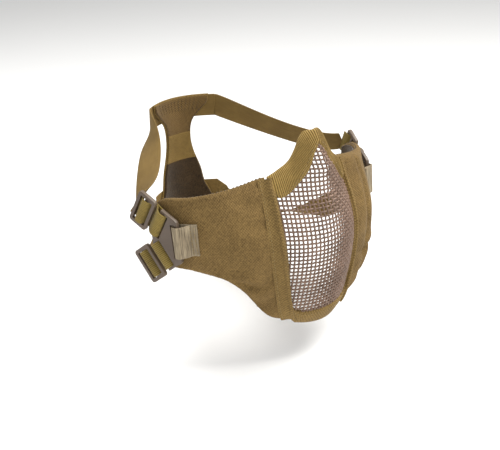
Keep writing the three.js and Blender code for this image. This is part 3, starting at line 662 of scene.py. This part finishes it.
# ---- the guard ----------------------------------------------------------------------------------
def wire_guard():
    """Woven wires over the formed surface, each on its own line of equal distance, over and under in turn."""
    pitch, radius, weave_height, levels = 3.3, 0.74, 0.52, 700
    level = np.linspace(level_at(0.05), level_at(0.985), levels)
    rise = run_along(np.column_stack([level, guard_y(np.zeros(levels), level)]))
    shares = np.linspace(0, 1, 90)
    half = np.minimum(opening_half(level) + 2.0, guard_half(level) - 1)
    xs = half[:, None] * shares[None]
    ys = guard_y(xs, np.broadcast_to(level[:, None], xs.shape))
    steps = np.hypot(np.diff(xs, axis=1), np.diff(ys, axis=1))
    girth = np.concatenate([np.zeros((levels, 1)), np.cumsum(steps, 1)], 1)
    x_at = lambda row, distance: np.sign(distance) * np.interp(abs(distance), girth[row], xs[row])
    foot, top = level_at(OPENING_STATIONS[0][0]) - 2.0, level_at(OPENING_STATIONS[-1][0]) + 1.5
    inside = (level >= foot) & (level <= top)
    wires = Gather()
    angles = np.arange(6) * math.pi / 3

    def add_wire(points, phase, run):
        if len(points) < 4:
            return
        x, z = np.array(points).T
        wobble = weave_height * np.cos(math.pi * np.asarray(run) / pitch + phase)
        at = guard_point(x, z, wobble)
        n = unit(guard_point(x, z, 1.0) - guard_point(x, z, 0.0))
        along = unit(np.gradient(at, axis=0))
        side = unit(np.cross(along, n))
        up = np.cross(side, along)
        wires.add(*sweep(circles(at, side, up, radius, angles)))

    first = rise[inside][0]
    rows = np.arange(first + 0.5 * pitch, rise[inside][-1], pitch)
    for i, b in enumerate(rows):
        k = int(np.argmin(abs(rise - b)))
        reach = girth[k][-1]
        a = np.arange(-math.floor(reach / (pitch / 4)), math.floor(reach / (pitch / 4)) + 1) * (pitch / 4)
        add_wire([(float(x_at(k, d)), level[k]) for d in a], math.pi * i, a)
    widest = girth[:, -1].max()
    for c in range(-int(widest / pitch), int(widest / pitch) + 1):
        distance = c * pitch
        held, run = [], []
        for b in np.arange(rows[0] - pitch / 2, rows[-1] + pitch / 2, pitch / 4):
            k = int(np.argmin(abs(rise - b)))
            if inside[k] and girth[k][-1] >= abs(distance):
                held.append((float(x_at(k, distance)), level[k]))
                run.append(b - rows[0])
        add_wire(held, math.pi * (c + 1), run)
    guard = wires.make("wire_guard")
    dress(guard, WIRE)
    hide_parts("wire_mesh")
    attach(guard, "front")


def spline(points, count=400):
    """An even run of points on a smooth curve through [half width share, height share] pairs, in X and Z."""
    p = np.array([(w * HALF_WIDTH, level_at(h)) for w, h in points])
    line = resample(np.column_stack([p, np.zeros(len(p))]), 0.5)[:, :2]
    run = run_along(line)
    at = np.linspace(0, run[-1], count)
    return np.column_stack([np.interp(at, run, line[:, 0]), np.interp(at, run, line[:, 1])])


def station(row):
    return row[1], row[0]


BINDING_FULLNESS = 2.6


def stations_between(table, low, high):
    return [station(row) for row in table if low <= row[0] < high]


NOSE_OUTER = spline(stations_between(GUARD_STATIONS, SEAM_TOP_SHARE, 1) + [(0.15, 0.99), (0, 1)])
NOSE_INNER = spline(
    [(0.952, CORNER_SHARE), (0.74, 0.704)] + stations_between(OPENING_STATIONS, 0.72, 0.9) + [(0, 0.936)]
)
CHIN_OUTER = spline(
    [(0.953, CORNER_SHARE + 0.004)]
    + stations_between(GUARD_STATIONS, SEAM_FOOT_SHARE, SEAM_TOP_SHARE - 0.11)[::-1]
    + [(0.58, 0.02), (0.5, 0.008), (0.25, 0.001), (0, 0)]
)
CHIN_INNER = spline(
    [(0.86, CORNER_SHARE + 0.002)]
    + stations_between(OPENING_STATIONS, 0.1, 0.6)[::-1]
    + [(0.55, 0.092), (0.27, 0.086), (0, 0.085)]
)


def wrapped_edge(name, outer, inner, stations, rib, pitch, material, nodes):
    """Binding folded round the guard's edge: an oval section across it, on both faces of the mesh."""
    t = np.linspace(-1, 1, stations)
    k = np.clip((1 - abs(t)) * (len(outer) - 1), 0, len(outer) - 1)
    flip = np.where(t < 0, -1, 1)

    def pick(line):
        index = np.arange(len(line))
        return np.column_stack([np.interp(k, index, line[:, 0]) * flip, np.interp(k, index, line[:, 1])])

    a, b = pick(outer), pick(inner)
    ring_count = 28
    angle = np.arange(ring_count) * 2 * math.pi / ring_count
    square = lambda c, p: np.sign(c) * abs(c) ** p
    v = 0.5 - 0.5 * square(np.cos(angle), 0.55)
    height = square(np.sin(angle), 0.75) * BINDING_FULLNESS
    mid = (a + b) / 2
    run = run_along(mid)
    ribs = 1 + rib * np.cos(2 * math.pi * run / pitch)
    x = a[:, None, 0] + (b - a)[:, None, 0] * v[None]
    z = a[:, None, 1] + (b - a)[:, None, 1] * v[None]
    points = guard_point(x, z, height[None] * ribs[:, None])
    flat, faces = sweep(points)
    width = np.linalg.norm(b - a, axis=1)
    inside_shift = np.where(height < 0, 30, 0)
    across = width[:, None] * v[None] + inside_shift[None]
    uvs = np.stack([np.repeat(run, ring_count), across.ravel()], -1)
    obj = make_mesh(name, flat, faces, uvs)
    dress(obj, material)
    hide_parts(*nodes)
    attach(obj, "front")
    return obj


def guard_stitch_line(name, outer, inner, share, thread, height, lengths=(2.0, 1.0), ends=(0.0, 1.0)):
    sewing = Gather()
    for side in (-1, 1):
        line = outer + (inner - outer) * share
        line = line[int(ends[0] * (len(line) - 1)) : int(ends[1] * (len(line) - 1)) + 1]
        x, z = line[:, 0] * side, line[:, 1]
        at = guard_point(x, z, height)
        stitches(sewing, at, guard_point(x, z, height + 1) - at, lengths[0], lengths[1], 0.26)
    obj = sewing.make(name)
    dress(obj, thread)
    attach(obj, "front")


wire_guard()
nose_nodes, chin_nodes = ["nose_binding", "nose_lining"], ["chin_binding", "chin_lining"]
wrapped_edge("nose_webbing", NOSE_OUTER, NOSE_INNER, 700, 0.1, 1.3, NOSE_WEB, nose_nodes)
wrapped_edge("chin_edge", CHIN_OUTER, CHIN_INNER, 520, 0.0, 1.0, BINDING, chin_nodes)
guard_stitch_line("nose_stitching", NOSE_OUTER, NOSE_INNER, 0.84, THREAD, 2.25, ends=(0.04, 0.97))
guard_stitch_line("chin_stitching", CHIN_OUTER, CHIN_INNER, 0.8, THREAD, 2.3, ends=(0.05, 0.99))


# ---- cheeks -------------------------------------------------------------------------------------
def cheek_place(side, start, end, inset):
    def place(u, v, offset):
        s = start + (end - start) * u
        foot = read_table(CHEEK_STATIONS, s, 1) + inset
        top = read_table(CHEEK_STATIONS, s, 2) - inset
        return cheek_point(side, s, foot + (top - foot) * v, offset)
    return place


def hump(x, middle, half_width):
    return np.exp(-(((x - middle) / half_width) ** 2))


def settle(obj, pinned, cap, pressure, grow, frames=18):
    """Cloth simulation of a padded piece, pinned along its seams. No point moves past the cap."""
    before = np.empty(len(obj.data.vertices) * 3)
    obj.data.vertices.foreach_get("co", before)
    before = before.reshape(-1, 3)
    group = obj.vertex_groups.new(name="seams")
    for i, w in enumerate(pinned):
        if w > 0.01:
            group.add([i], float(w), "REPLACE")
    cloth = obj.modifiers.new("cloth", "CLOTH")
    settings = cloth.settings
    settings.quality = 6
    settings.mass = 0.25
    settings.tension_stiffness = settings.compression_stiffness = 25
    settings.shear_stiffness = 12
    settings.bending_stiffness = 0.6
    settings.use_pressure = True
    settings.uniform_pressure_force = pressure
    settings.shrink_min = -grow
    settings.vertex_group_mass = "seams"
    settings.effector_weights.gravity = 0
    cloth.collision_settings.use_collision = False
    cloth.point_cache.frame_start, cloth.point_cache.frame_end = 1, frames
    for f in range(1, frames + 1):
        scene.frame_set(f)
    evaluated = obj.evaluated_get(bpy.context.evaluated_depsgraph_get())
    after = np.empty(len(evaluated.data.vertices) * 3)
    evaluated.data.vertices.foreach_get("co", after)
    after = after.reshape(-1, 3)
    obj.modifiers.remove(cloth)
    obj.vertex_groups.clear()
    scene.frame_set(1)
    move = after - before
    far = np.linalg.norm(move, axis=1, keepdims=True)
    move *= np.minimum(1, cap * MM / np.maximum(far, 1e-9))
    obj.data.vertices.foreach_set("co", (before + move).ravel())
    obj.data.update()


PANEL_HEIGHT, EDGE_RADIUS = 84, 4.0
LINING_LENGTH, LINING_HEIGHT, LINING_RADIUS = 96, 78, 1.2
FOAM_BACK = 0.5 + FOAM_THICKNESS


def cheek(word, side):
    body = f"{word}_cheek"
    us, vs = edge_spaced(58, CHEEK_LENGTH, EDGE_RADIUS, 4), edge_spaced(44, PANEL_HEIGHT, EDGE_RADIUS, 4)
    start, end = 1.4 / CHEEK_LENGTH, 1.0
    thick_out, thick_in = SHELL_THICKNESS - 0.1, -FOAM_BACK
    mid = (thick_out + thick_in) / 2 + 1.2

    def dart(u, v):
        """A short tuck that runs up and forward from the lower edge, with cloth gathered beside it."""
        s = u * CHEEK_LENGTH
        along = (s - 24) * -0.62 + (v - 0.14) * PANEL_HEIGHT * 0.62
        across = (s - 20) * 0.62 + (v - 0.2) * PANEL_HEIGHT * 0.72
        fade = hump(along, 0, 11)
        return fade * (-2.6 * hump(across, 0, 1.8) + 1.3 * hump(across, 4, 3) + 0.9 * hump(across, -4, 3))

    def folds(u, v):
        """Broad soft folds from the straps' pull. The left side stands prouder, with one long fold."""
        s, across = u * CHEEK_LENGTH, hump(v, 0.5, 0.4)
        pulled = 0.9 * np.sin(s / 8.5 + 4 * v) * hump(s, 50, 22) * across
        pulled = pulled + 0.35 * np.sin(s / 3.1 + 9 * v) * hump(s, 30, 14) * (1 - v)
        if side < 0:
            return pulled + 0.5 * hump(s, 16, 6) * across
        return 0.35 * pulled + 5.2 * hump(s, 24, 17) - 3.4 * hump(s, 17 + 4 * v, 2.6) * across

    edge = lambda u, v: rounded(u, v, CHEEK_LENGTH, PANEL_HEIGHT, EDGE_RADIUS)
    top = lambda u, v: mid + (thick_out - mid) * edge(u, v) + (dart(u, v) + folds(u, v)) * edge(u, v)
    bottom = lambda u, v: mid + (thick_in - mid) * edge(u, v)
    place = cheek_place(side, start, end, 0.4)
    points, faces, uvs = pillow(place, us, vs, top, bottom, CHEEK_LENGTH, PANEL_HEIGHT)
    uvs[:, 1] = points[:, 2]
    pad = make_mesh(f"{word}_cheek_pad", points, faces, uvs)
    n, m = len(us), len(vs)
    gu, gv = np.meshgrid(us, vs, indexing="ij")
    hold = 1 - edge(gu, gv)
    inner = np.zeros((n, m), bool)
    inner[1:-1, 1:-1] = True
    settle(pad, np.concatenate([hold.ravel(), np.maximum(hold[inner], 0.9)]), 1.3, 0.8, 0.012)
    dress(pad, CLOTH)
    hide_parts(f"{word}_cheek_shell", f"{word}_cheek_foam")
    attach(pad, body)

    low, high = -(FOAM_BACK + GAP + LINING_THICKNESS), -(FOAM_BACK + 0.05)
    us = edge_spaced(34, LINING_LENGTH, LINING_RADIUS, 3)
    vs = edge_spaced(30, LINING_HEIGHT, LINING_RADIUS, 3)
    edge = lambda u, v: rounded(u, v, LINING_LENGTH, LINING_HEIGHT, LINING_RADIUS)
    wrinkle = lambda u, v: 0.25 * np.sin(u * 23 + 4 * v) * np.sin(v * 17)
    points, faces, uvs = pillow(
        cheek_place(side, 6.0 / CHEEK_LENGTH, 1 - 2.5 / CHEEK_LENGTH, 2.2), us, vs,
        lambda u, v: (low + high) / 2 + (high - low) / 2 * edge(u, v),
        lambda u, v: (low + high) / 2 - ((high - low) / 2 + wrinkle(u, v)) * edge(u, v),
        LINING_LENGTH, LINING_HEIGHT,
    )
    lining = make_mesh(f"{word}_cheek_inner", points, faces, uvs)
    dress(lining, LINING)
    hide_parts(f"{word}_cheek_lining")
    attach(lining, body)

    # overlock along the top edge, and a row of stitches inside the seam
    sewing = Gather()
    s = np.linspace(0.03, 0.985, 200)
    z = read_table(CHEEK_STATIONS, s, 2) - 0.4
    at = cheek_point(side, s, z - 0.9, -2.6)
    over = unit(np.array([0, 0, 1.0]) + 0 * at)
    stitches(sewing, at, over, 1.9, 1.2, 0.42, lift=0.3)
    s2 = np.linspace(0.03, 0.97, 200)
    z2 = read_table(CHEEK_STATIONS, s2, 2) - 2.6
    at = cheek_point(side, s2, z2, low)
    stitches(sewing, at, at - cheek_point(side, s2, z2, 0), 1.8, 1.0, 0.25, lift=0.1)
    rows = sewing.make(f"{word}_cheek_overlock")
    dress(rows, DARK_THREAD)
    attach(rows, body)


def seam(word, side):
    """Seam between guard and cheek: a flat felled strip with piping in front of it and a row of stitches."""
    foot, top = level_at(SEAM_FOOT_SHARE) + 1.5, level_at(SEAM_TOP_SHARE) - 0.8
    z = np.linspace(foot, top, 150)
    shares = np.concatenate([np.linspace(-2.6, 0, 5), np.linspace(1, 8, 8)])
    base = []
    for d in shares:
        if d < 0:
            base.append(guard_point(side * (guard_half(z) + d), z, 2.75))
        else:
            settle_down = min(1, d / 3)
            base.append(cheek_point(side, d / CHEEK_LENGTH, z, 2.75 + (1.15 - 2.75) * settle_down))
    base = np.array(base).transpose(1, 0, 2)
    across = unit(np.gradient(base, axis=1))
    along = unit(np.gradient(base, axis=0))
    up = unit(np.cross(across, along)) * (-side)
    front = np.concatenate([base + up * 0.35, (base - up * 0.35)[:, ::-1]], 1)
    points, faces = sweep(front)
    run = np.repeat(z - foot, front.shape[1])
    cross = np.tile(np.concatenate([shares, shares[::-1]]), len(z))
    strip = make_mesh(f"{word}_seam_strip", points, faces, np.stack([run, cross], -1))
    dress(strip, BINDING)
    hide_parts(f"{word}_seam_tape")

    angles = np.arange(10) * math.pi / 5
    centre = guard_point(side * (guard_half(z) - 2.2), z, 2.9)
    along = unit(np.gradient(centre, axis=0))
    n = unit(guard_point(side * (guard_half(z) - 2.2), z, 4) - centre)
    sideways = unit(np.cross(along, n))
    piping_radius = 1.5
    points, faces = sweep(circles(centre, sideways, n, piping_radius, angles))
    uvs = np.stack([np.repeat(z - foot, 10), np.tile(angles * 1.15, len(z))], -1)
    piping = make_mesh(f"{word}_seam_piping", points, faces, uvs)
    dress(piping, BINDING)
    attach(piping, "front")

    sewing = Gather()
    at = cheek_point(side, 6.2 / CHEEK_LENGTH, z, 1.6)
    stitches(sewing, at, cheek_point(side, 6.2 / CHEEK_LENGTH, z, 3) - at, 2.2, 1.0, 0.27)
    rows = sewing.make(f"{word}_seam_stitching")
    dress(rows, THREAD)

    towards = unit(np.array([side * 0.95, 0.31, -0.11]))
    middle = cheek_point(side, 0.0, -6.0, 0.0)
    for piece in (strip, rows):
        turn_from, turn_to = (middle - towards * 3.5) * MM, (middle + towards * 5) * MM
        tuple(turn_from)
        tuple(turn_to)
        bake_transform(piece)


# ---- hardware and webbing ---------------------------------------------------------------------------
PLATE_S = 1 - PLATE_SETBACK / CHEEK_LENGTH
DROOP = math.radians(PLATE_DROOP)
SLOT_HALF = STRAP_WIDTH / 2 + SLOT_CLEARANCE
SLOT_RISE = SLOT_HALF * math.cos(math.radians(STRAP_ANGLE)) + 1.6
ADJUSTER_HALF = ADJUSTER_MIDDLE_BAR / 2 + ADJUSTER_SLOT + ADJUSTER_BAR


def turned(v, axis, angle):
    return np.array(Matrix.Rotation(angle, 3, Vector(axis)) @ Vector(v))


def plate_frame(side):
    at = cheek_point(side, PLATE_S, 0, PLATE_LIFT)
    upright = np.array([0, 0, 1.0])
    out = turned(cheek_point(side, PLATE_S, 0, PLATE_LIFT + 1) - at, upright, side * math.radians(PLATE_TURN))
    rear = np.cross(out, upright) * -side
    return at, turned(rear, out, -side * DROOP), turned(upright, out, -side * DROOP), out


def moulded(name, node, bevel):
    """A plastic piece with the CAD piece's shape and rounded edges."""
    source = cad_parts[node]
    mesh = source.data.copy()
    obj = bpy.data.objects.new(name, mesh)
    scene.collection.objects.link(obj)
    bm = bmesh.new()
    bm.from_mesh(mesh)
    bmesh.ops.remove_doubles(bm, verts=bm.verts, dist=1e-6)
    bmesh.ops.dissolve_limit(bm, angle_limit=math.radians(2), verts=bm.verts, edges=bm.edges)
    bm.to_mesh(mesh)
    bm.free()
    rounding = obj.modifiers.new("rounding", "BEVEL")
    rounding.width = bevel * MM
    rounding.segments = 3
    rounding.limit_method = "ANGLE"
    rounding.angle_limit = math.radians(35)
    rounding.harden_normals = False
    finished = bpy.data.meshes.new_from_object(obj.evaluated_get(bpy.context.evaluated_depsgraph_get()))
    obj.modifiers.clear()
    obj.data = finished
    finished.polygons.foreach_set("use_smooth", [True] * len(finished.polygons))
    finished.set_sharp_from_angle(angle=math.radians(40))
    dress(obj, PLASTIC)
    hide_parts(node)
    return obj


def thread_path():
    low = STRAP_THICKNESS / 2 + PLATE_THICKNESS / 2 + GAP + 0.3
    bar, a = REAR_SLOT_HALF + PLATE_BAR, ADJUSTER_DISTANCE
    slot = (ADJUSTER_MIDDLE_BAR + ADJUSTER_SLOT) / 2
    round_plate = [
        (a - 4.5, -low - STRAP_THICKNESS - GAP), (bar + 4, -low - 1.2), (2.8, -low - 0.1), (0.9, -low + 0.8),
        (0, 0), (0.9, low - 0.8), (2.7, low), (bar - 0.3, low), (bar + 1.6, low - 1),
        ((bar + a - ADJUSTER_HALF) / 2 + 0.6, 0), (a - ADJUSTER_HALF - 1, 0.8 - low),
    ]
    round_adjuster = [
        (-ADJUSTER_HALF + 0.9, -low), (-slot - 2.5, -low), (-slot - 0.9, -low + 0.9), (-slot, 0),
        (-slot + 0.9, low - 0.8), (-slot + 2.2, low), (slot - 2.2, low), (slot - 0.9, low - 0.8), (slot, 0),
        (slot + 1.1, -low + 0.9), (slot + 2.7, -low), (ADJUSTER_HALF + 1, -low - 0.9),
    ]
    return round_plate + [(a + q, h) for q, h in round_adjuster]


def pad_y(x):
    return HARNESS_REACH - x * x / (2 * PAD_RADIUS)


def pad_half(v):
    return PAD_WIDTH / 2 * read_table(PAD_STATIONS, v, 1)


def strap(word, place, side, rise):
    origin, rear, up, out = plate_frame(side)
    angle = rise * math.radians(STRAP_ANGLE)
    c, s = math.cos(angle), math.sin(angle)
    across, along = up * c - rear * s, rear * c + up * s
    at = lambda q, h: origin + rear * (REAR_SLOT_OFFSET + q * c) + up * (rise * SLOT_RISE + q * s) + out * h
    threaded = resample([at(q, h) for q, h in thread_path()], 0.35)
    crossways = np.broadcast_to(across, threaded.shape)
    doubled = ribbon(threaded, crossways, STRAP_WIDTH + 1.9, STRAP_THICKNESS - 0.2, 0.13)
    short = make_mesh(f"{word}_{place}_strap_loop", *doubled)
    dress(short, SHORT_WEB)
    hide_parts(f"{word}_{place}_strap")
    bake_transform(short)

    start = threaded[-1]
    pad_z = PAD_MID + rise * (PAD_HEIGHT - STRAP_WIDTH - 2) / 2
    outside = PAD_THICKNESS + GAP + 0.3 + STRAP_THICKNESS / 2
    pad_end = lambda x: np.array([side * x, pad_y(x) + outside, pad_z])
    leave = pad_end(PAD_WIDTH / 2 + STRAP_CLEAR)
    slope = unit([side, -PAD_WIDTH / 2 / PAD_RADIUS, 0])
    sag = STRAP_SAG[place]
    after_start = start + along * 6 - out * STRAP_TUCK - np.array([0, 0, sag[0]])
    before_leave = leave + slope * 6 - np.array([0, STRAP_LEAD, sag[1]])
    controls = [start, after_start, before_leave, leave]
    twist = math.radians(STRAP_TWIST[place, word])
    t = np.linspace(0, 1, 80)[:, None]
    line = bezier(controls, t)
    tangent = unit(np.gradient(line, axis=0))
    widths = []
    for k, (d, tt) in enumerate(zip(tangent, t[:, 0])):
        ease = tt * tt * (3 - 2 * tt)
        width = across * (1 - ease) + np.array([0, 0, 1.0]) * ease
        width = unit(width - d * (width @ d))
        widths.append(turned(width, d, twist * math.sin(math.pi * tt) ** 2))
    inwards = np.linspace(0.8, STRAP_OVERLAP + STRAP_CLEAR, 26)
    sewn = np.array([pad_end(PAD_WIDTH / 2 + STRAP_CLEAR - k) for k in inwards])
    line = np.concatenate([line, sewn])
    widths = np.concatenate([widths, np.tile([0, 0, 1.0], (len(sewn), 1))])
    inset = 3
    cuts = [0, 9, 36, 58, len(line) - 1]
    for k in range(len(cuts) - 1):
        a, b = cuts[k], cuts[k + 1]
        webbing = ribbon(line[a : b + 1], widths[a : b + 1], STRAP_WIDTH, STRAP_THICKNESS)
        piece = make_mesh(f"{word}_{place}_strap_run_{k + 1}", *webbing)
        dress(piece, STRAP_WEB)
        turn_from, turn_to = line[a + inset], line[min(b, len(t) - 1) - inset]
        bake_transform(piece)

    box = Gather()
    inner_x = PAD_WIDTH / 2 - STRAP_OVERLAP + 3
    outer_x = PAD_WIDTH / 2 - 2
    zs = (pad_z - STRAP_WIDTH / 2 + 2, pad_z + STRAP_WIDTH / 2 - 2)
    lift = STRAP_THICKNESS / 2 + 0.05
    corner = lambda x, z: np.array([side * x, pad_y(x) + outside + lift, z])
    box_corners = [(x, z) for x in (inner_x, outer_x) for z in zs]
    for (x0, z0), (x1, z1) in itertools.combinations(box_corners, 2):
        run = [corner(x0 + (x1 - x0) * k, z0 + (z1 - z0) * k) for k in np.linspace(0, 1, 12)]
        stitches(box, run, np.tile([0, 1.0, 0], (12, 1)), 1.6, 0.8, 0.24)
    sewing = box.make(f"{word}_{place}_strap_stitching")
    dress(sewing, THREAD)
    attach(sewing, "harness")


def cheek_loop(word, side):
    under = SHELL_THICKNESS + GAP + 0.2 + LOOP_THICKNESS / 2
    sewn = under + LOOP_THICKNESS + GAP
    over = PLATE_LIFT + PLATE_THICKNESS / 2 + GAP + LOOP_THICKNESS / 2 + 1
    slot, bar = FRONT_SLOT_OFFSET + 0.3, FRONT_SLOT_OFFSET - FRONT_SLOT_HALF - PLATE_BAR
    start = bar - 10
    origin, rear_way, up, outward = plate_frame(side)
    on_bar = lambda rear, out: origin + rear_way * rear + outward * (out - PLATE_LIFT)

    def on_cheek(rear, out):
        share = PLATE_S + rear * math.cos(DROOP) / CHEEK_LENGTH
        return cheek_point(side, share, -rear * math.sin(DROOP), out)

    path = [on_cheek(start, sewn), on_cheek(bar - 5, sewn), on_cheek(bar - 2.4, (sewn + over) / 2)]
    over_bar = ((bar, over - 0.2), (bar + 2, over), (slot - 1.6, over - 0.3))
    through_slot = ((slot, PLATE_LIFT + 0.8), (slot, PLATE_LIFT - 1.6))
    path += [on_bar(*p) for p in over_bar + through_slot]
    back_under = ((slot - 1.2, under + 0.2), (slot - 3, under), (bar - 6, under), (start, under))
    path += [on_cheek(*p) for p in back_under]
    line = resample(path, 0.6)
    upwards = np.tile(up, (len(line), 1))
    loop = make_mesh(f"{word}_panel_loop", *ribbon(line, upwards, LOOP_WIDTH, LOOP_THICKNESS))
    dress(loop, LOOP_WEB)
    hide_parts(f"{word}_cheek_loop")
    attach(loop, f"{word}_cheek")
    sewing = Gather()
    lift = sewn + LOOP_THICKNESS / 2 + 0.05
    for rear in (start + 1.5, bar - 5.5):
        v = np.linspace(-LOOP_WIDTH / 2 + 1.2, LOOP_WIDTH / 2 - 1.2, 20)
        sr = PLATE_S + (rear * math.cos(DROOP) + v * math.sin(DROOP)) / CHEEK_LENGTH
        at = cheek_point(side, sr, v * math.cos(DROOP) - rear * math.sin(DROOP), lift)
        stitches(sewing, at, at - cheek_point(side, sr, v, 0), 1.7, 0.8, 0.25)
    rows = sewing.make(f"{word}_panel_loop_stitching")
    dress(rows, THREAD)
    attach(rows, f"{word}_cheek")


for word, side in (("right", -1), ("left", 1)):
    cheek(word, side)
    seam(word, side)
    cheek_loop(word, side)
    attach(moulded(f"{word}_slotted_plate", f"{word}_strap_plate", 0.55), f"{word}_plate")
    for place, rise in (("upper", 1), ("lower", -1)):
        adjuster = f"{word}_{place}_adjuster"
        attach(moulded(f"{word}_{place}_slider", adjuster, 0.8), adjuster)
        strap(word, place, side, rise)


# ---- head pad -----------------------------------------------------------------------------------
def pad_place(v_from, v_to, inset):
    def place(u, v, offset):
        vv = v_from + (v_to - v_from) * v
        x = (2 * u - 1) * (pad_half(vv) - inset)
        z = PAD_MID + (vv - 0.5) * PAD_HEIGHT
        n = unit(np.stack([x / PAD_RADIUS, np.ones_like(x), 0 * x], -1))
        return np.stack([x, pad_y(x), z], -1) + n * np.asarray(offset)[..., None]
    return place


MEAN_PAD_WIDTH = 44


def pad_piece(name, span, inset, low, high, radius, material, nodes=(), ripple=0.0):
    v_from, v_to = span
    height = (v_to - v_from) * PAD_HEIGHT
    us = edge_spaced(30, MEAN_PAD_WIDTH, radius, 3)
    vs = edge_spaced(max(10, int(height / 1.8)), height, radius, 3)
    edge = lambda u, v: rounded(u, v, MEAN_PAD_WIDTH, height, radius)
    mid = (low + high) / 2
    wave = lambda u, v: ripple * np.sin(v * height / 3.1 + 1.3 * np.sin(u * 5))
    points, faces, uvs = pillow(
        pad_place(v_from, v_to, inset), us, vs,
        lambda u, v: mid + (high - mid) * edge(u, v),
        lambda u, v: mid - (mid - low + wave(u, v)) * edge(u, v), MEAN_PAD_WIDTH, height,
    )
    obj = make_mesh(name, points, faces, uvs)
    dress(obj, material)
    if nodes:
        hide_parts(*nodes)
    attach(obj, "harness")
    return obj


band = pad_piece("head_pad_band", (0, 1), 0, -0.2, PAD_THICKNESS, 1.2, PAD_WEB, ["head_pad"])
lining_node = ["head_pad_lining"]
pad_piece("head_pad_upper", (0.66, 0.99), 0.7, -1.3, -0.25, 0.9, PAD_TOP, lining_node, 0.12)
pad_piece("head_pad_middle", (0.42, 0.68), 0.9, -1.6, -0.25, 0.9, PAD_WEB, (), 0.1)
# the lower piece's very dark colour is painted shade
pad_piece("head_pad_lower", (0.01, 0.44), 0.7, -1.9, -0.25, 1.2, PAD_LOWER_PAINTED_SHADE, (), 0.12)

edge_sewing = Gather()
for sign in (-1, 1):
    v = np.linspace(0.68, 0.97, 60)
    x = sign * (pad_half(v) - 2.2)
    at = np.stack([x, pad_y(x) - 1.35, PAD_MID + (v - 0.5) * PAD_HEIGHT], -1)
    stitches(edge_sewing, at, np.tile([0, -1.0, 0], (60, 1)), 2.0, 1.0, 0.24)
for x0 in np.linspace(-22, 22, 12):
    z = np.linspace(PAD_MID + PAD_HEIGHT / 2 - 13, PAD_MID + PAD_HEIGHT / 2 - 1.6, 16)
    x = x0 * (0.82 + 0.18 * (z - z[0]) / (z[-1] - z[0]))
    at = np.stack([x, pad_y(x) - 1.35, z], -1)
    stitches(edge_sewing, at, np.tile([0, -1.0, 0], (16, 1)), 1.6, 0.9, 0.22)
rows = edge_sewing.make("head_pad_stitching")
dress(rows, DARK_THREAD)
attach(rows, "harness")
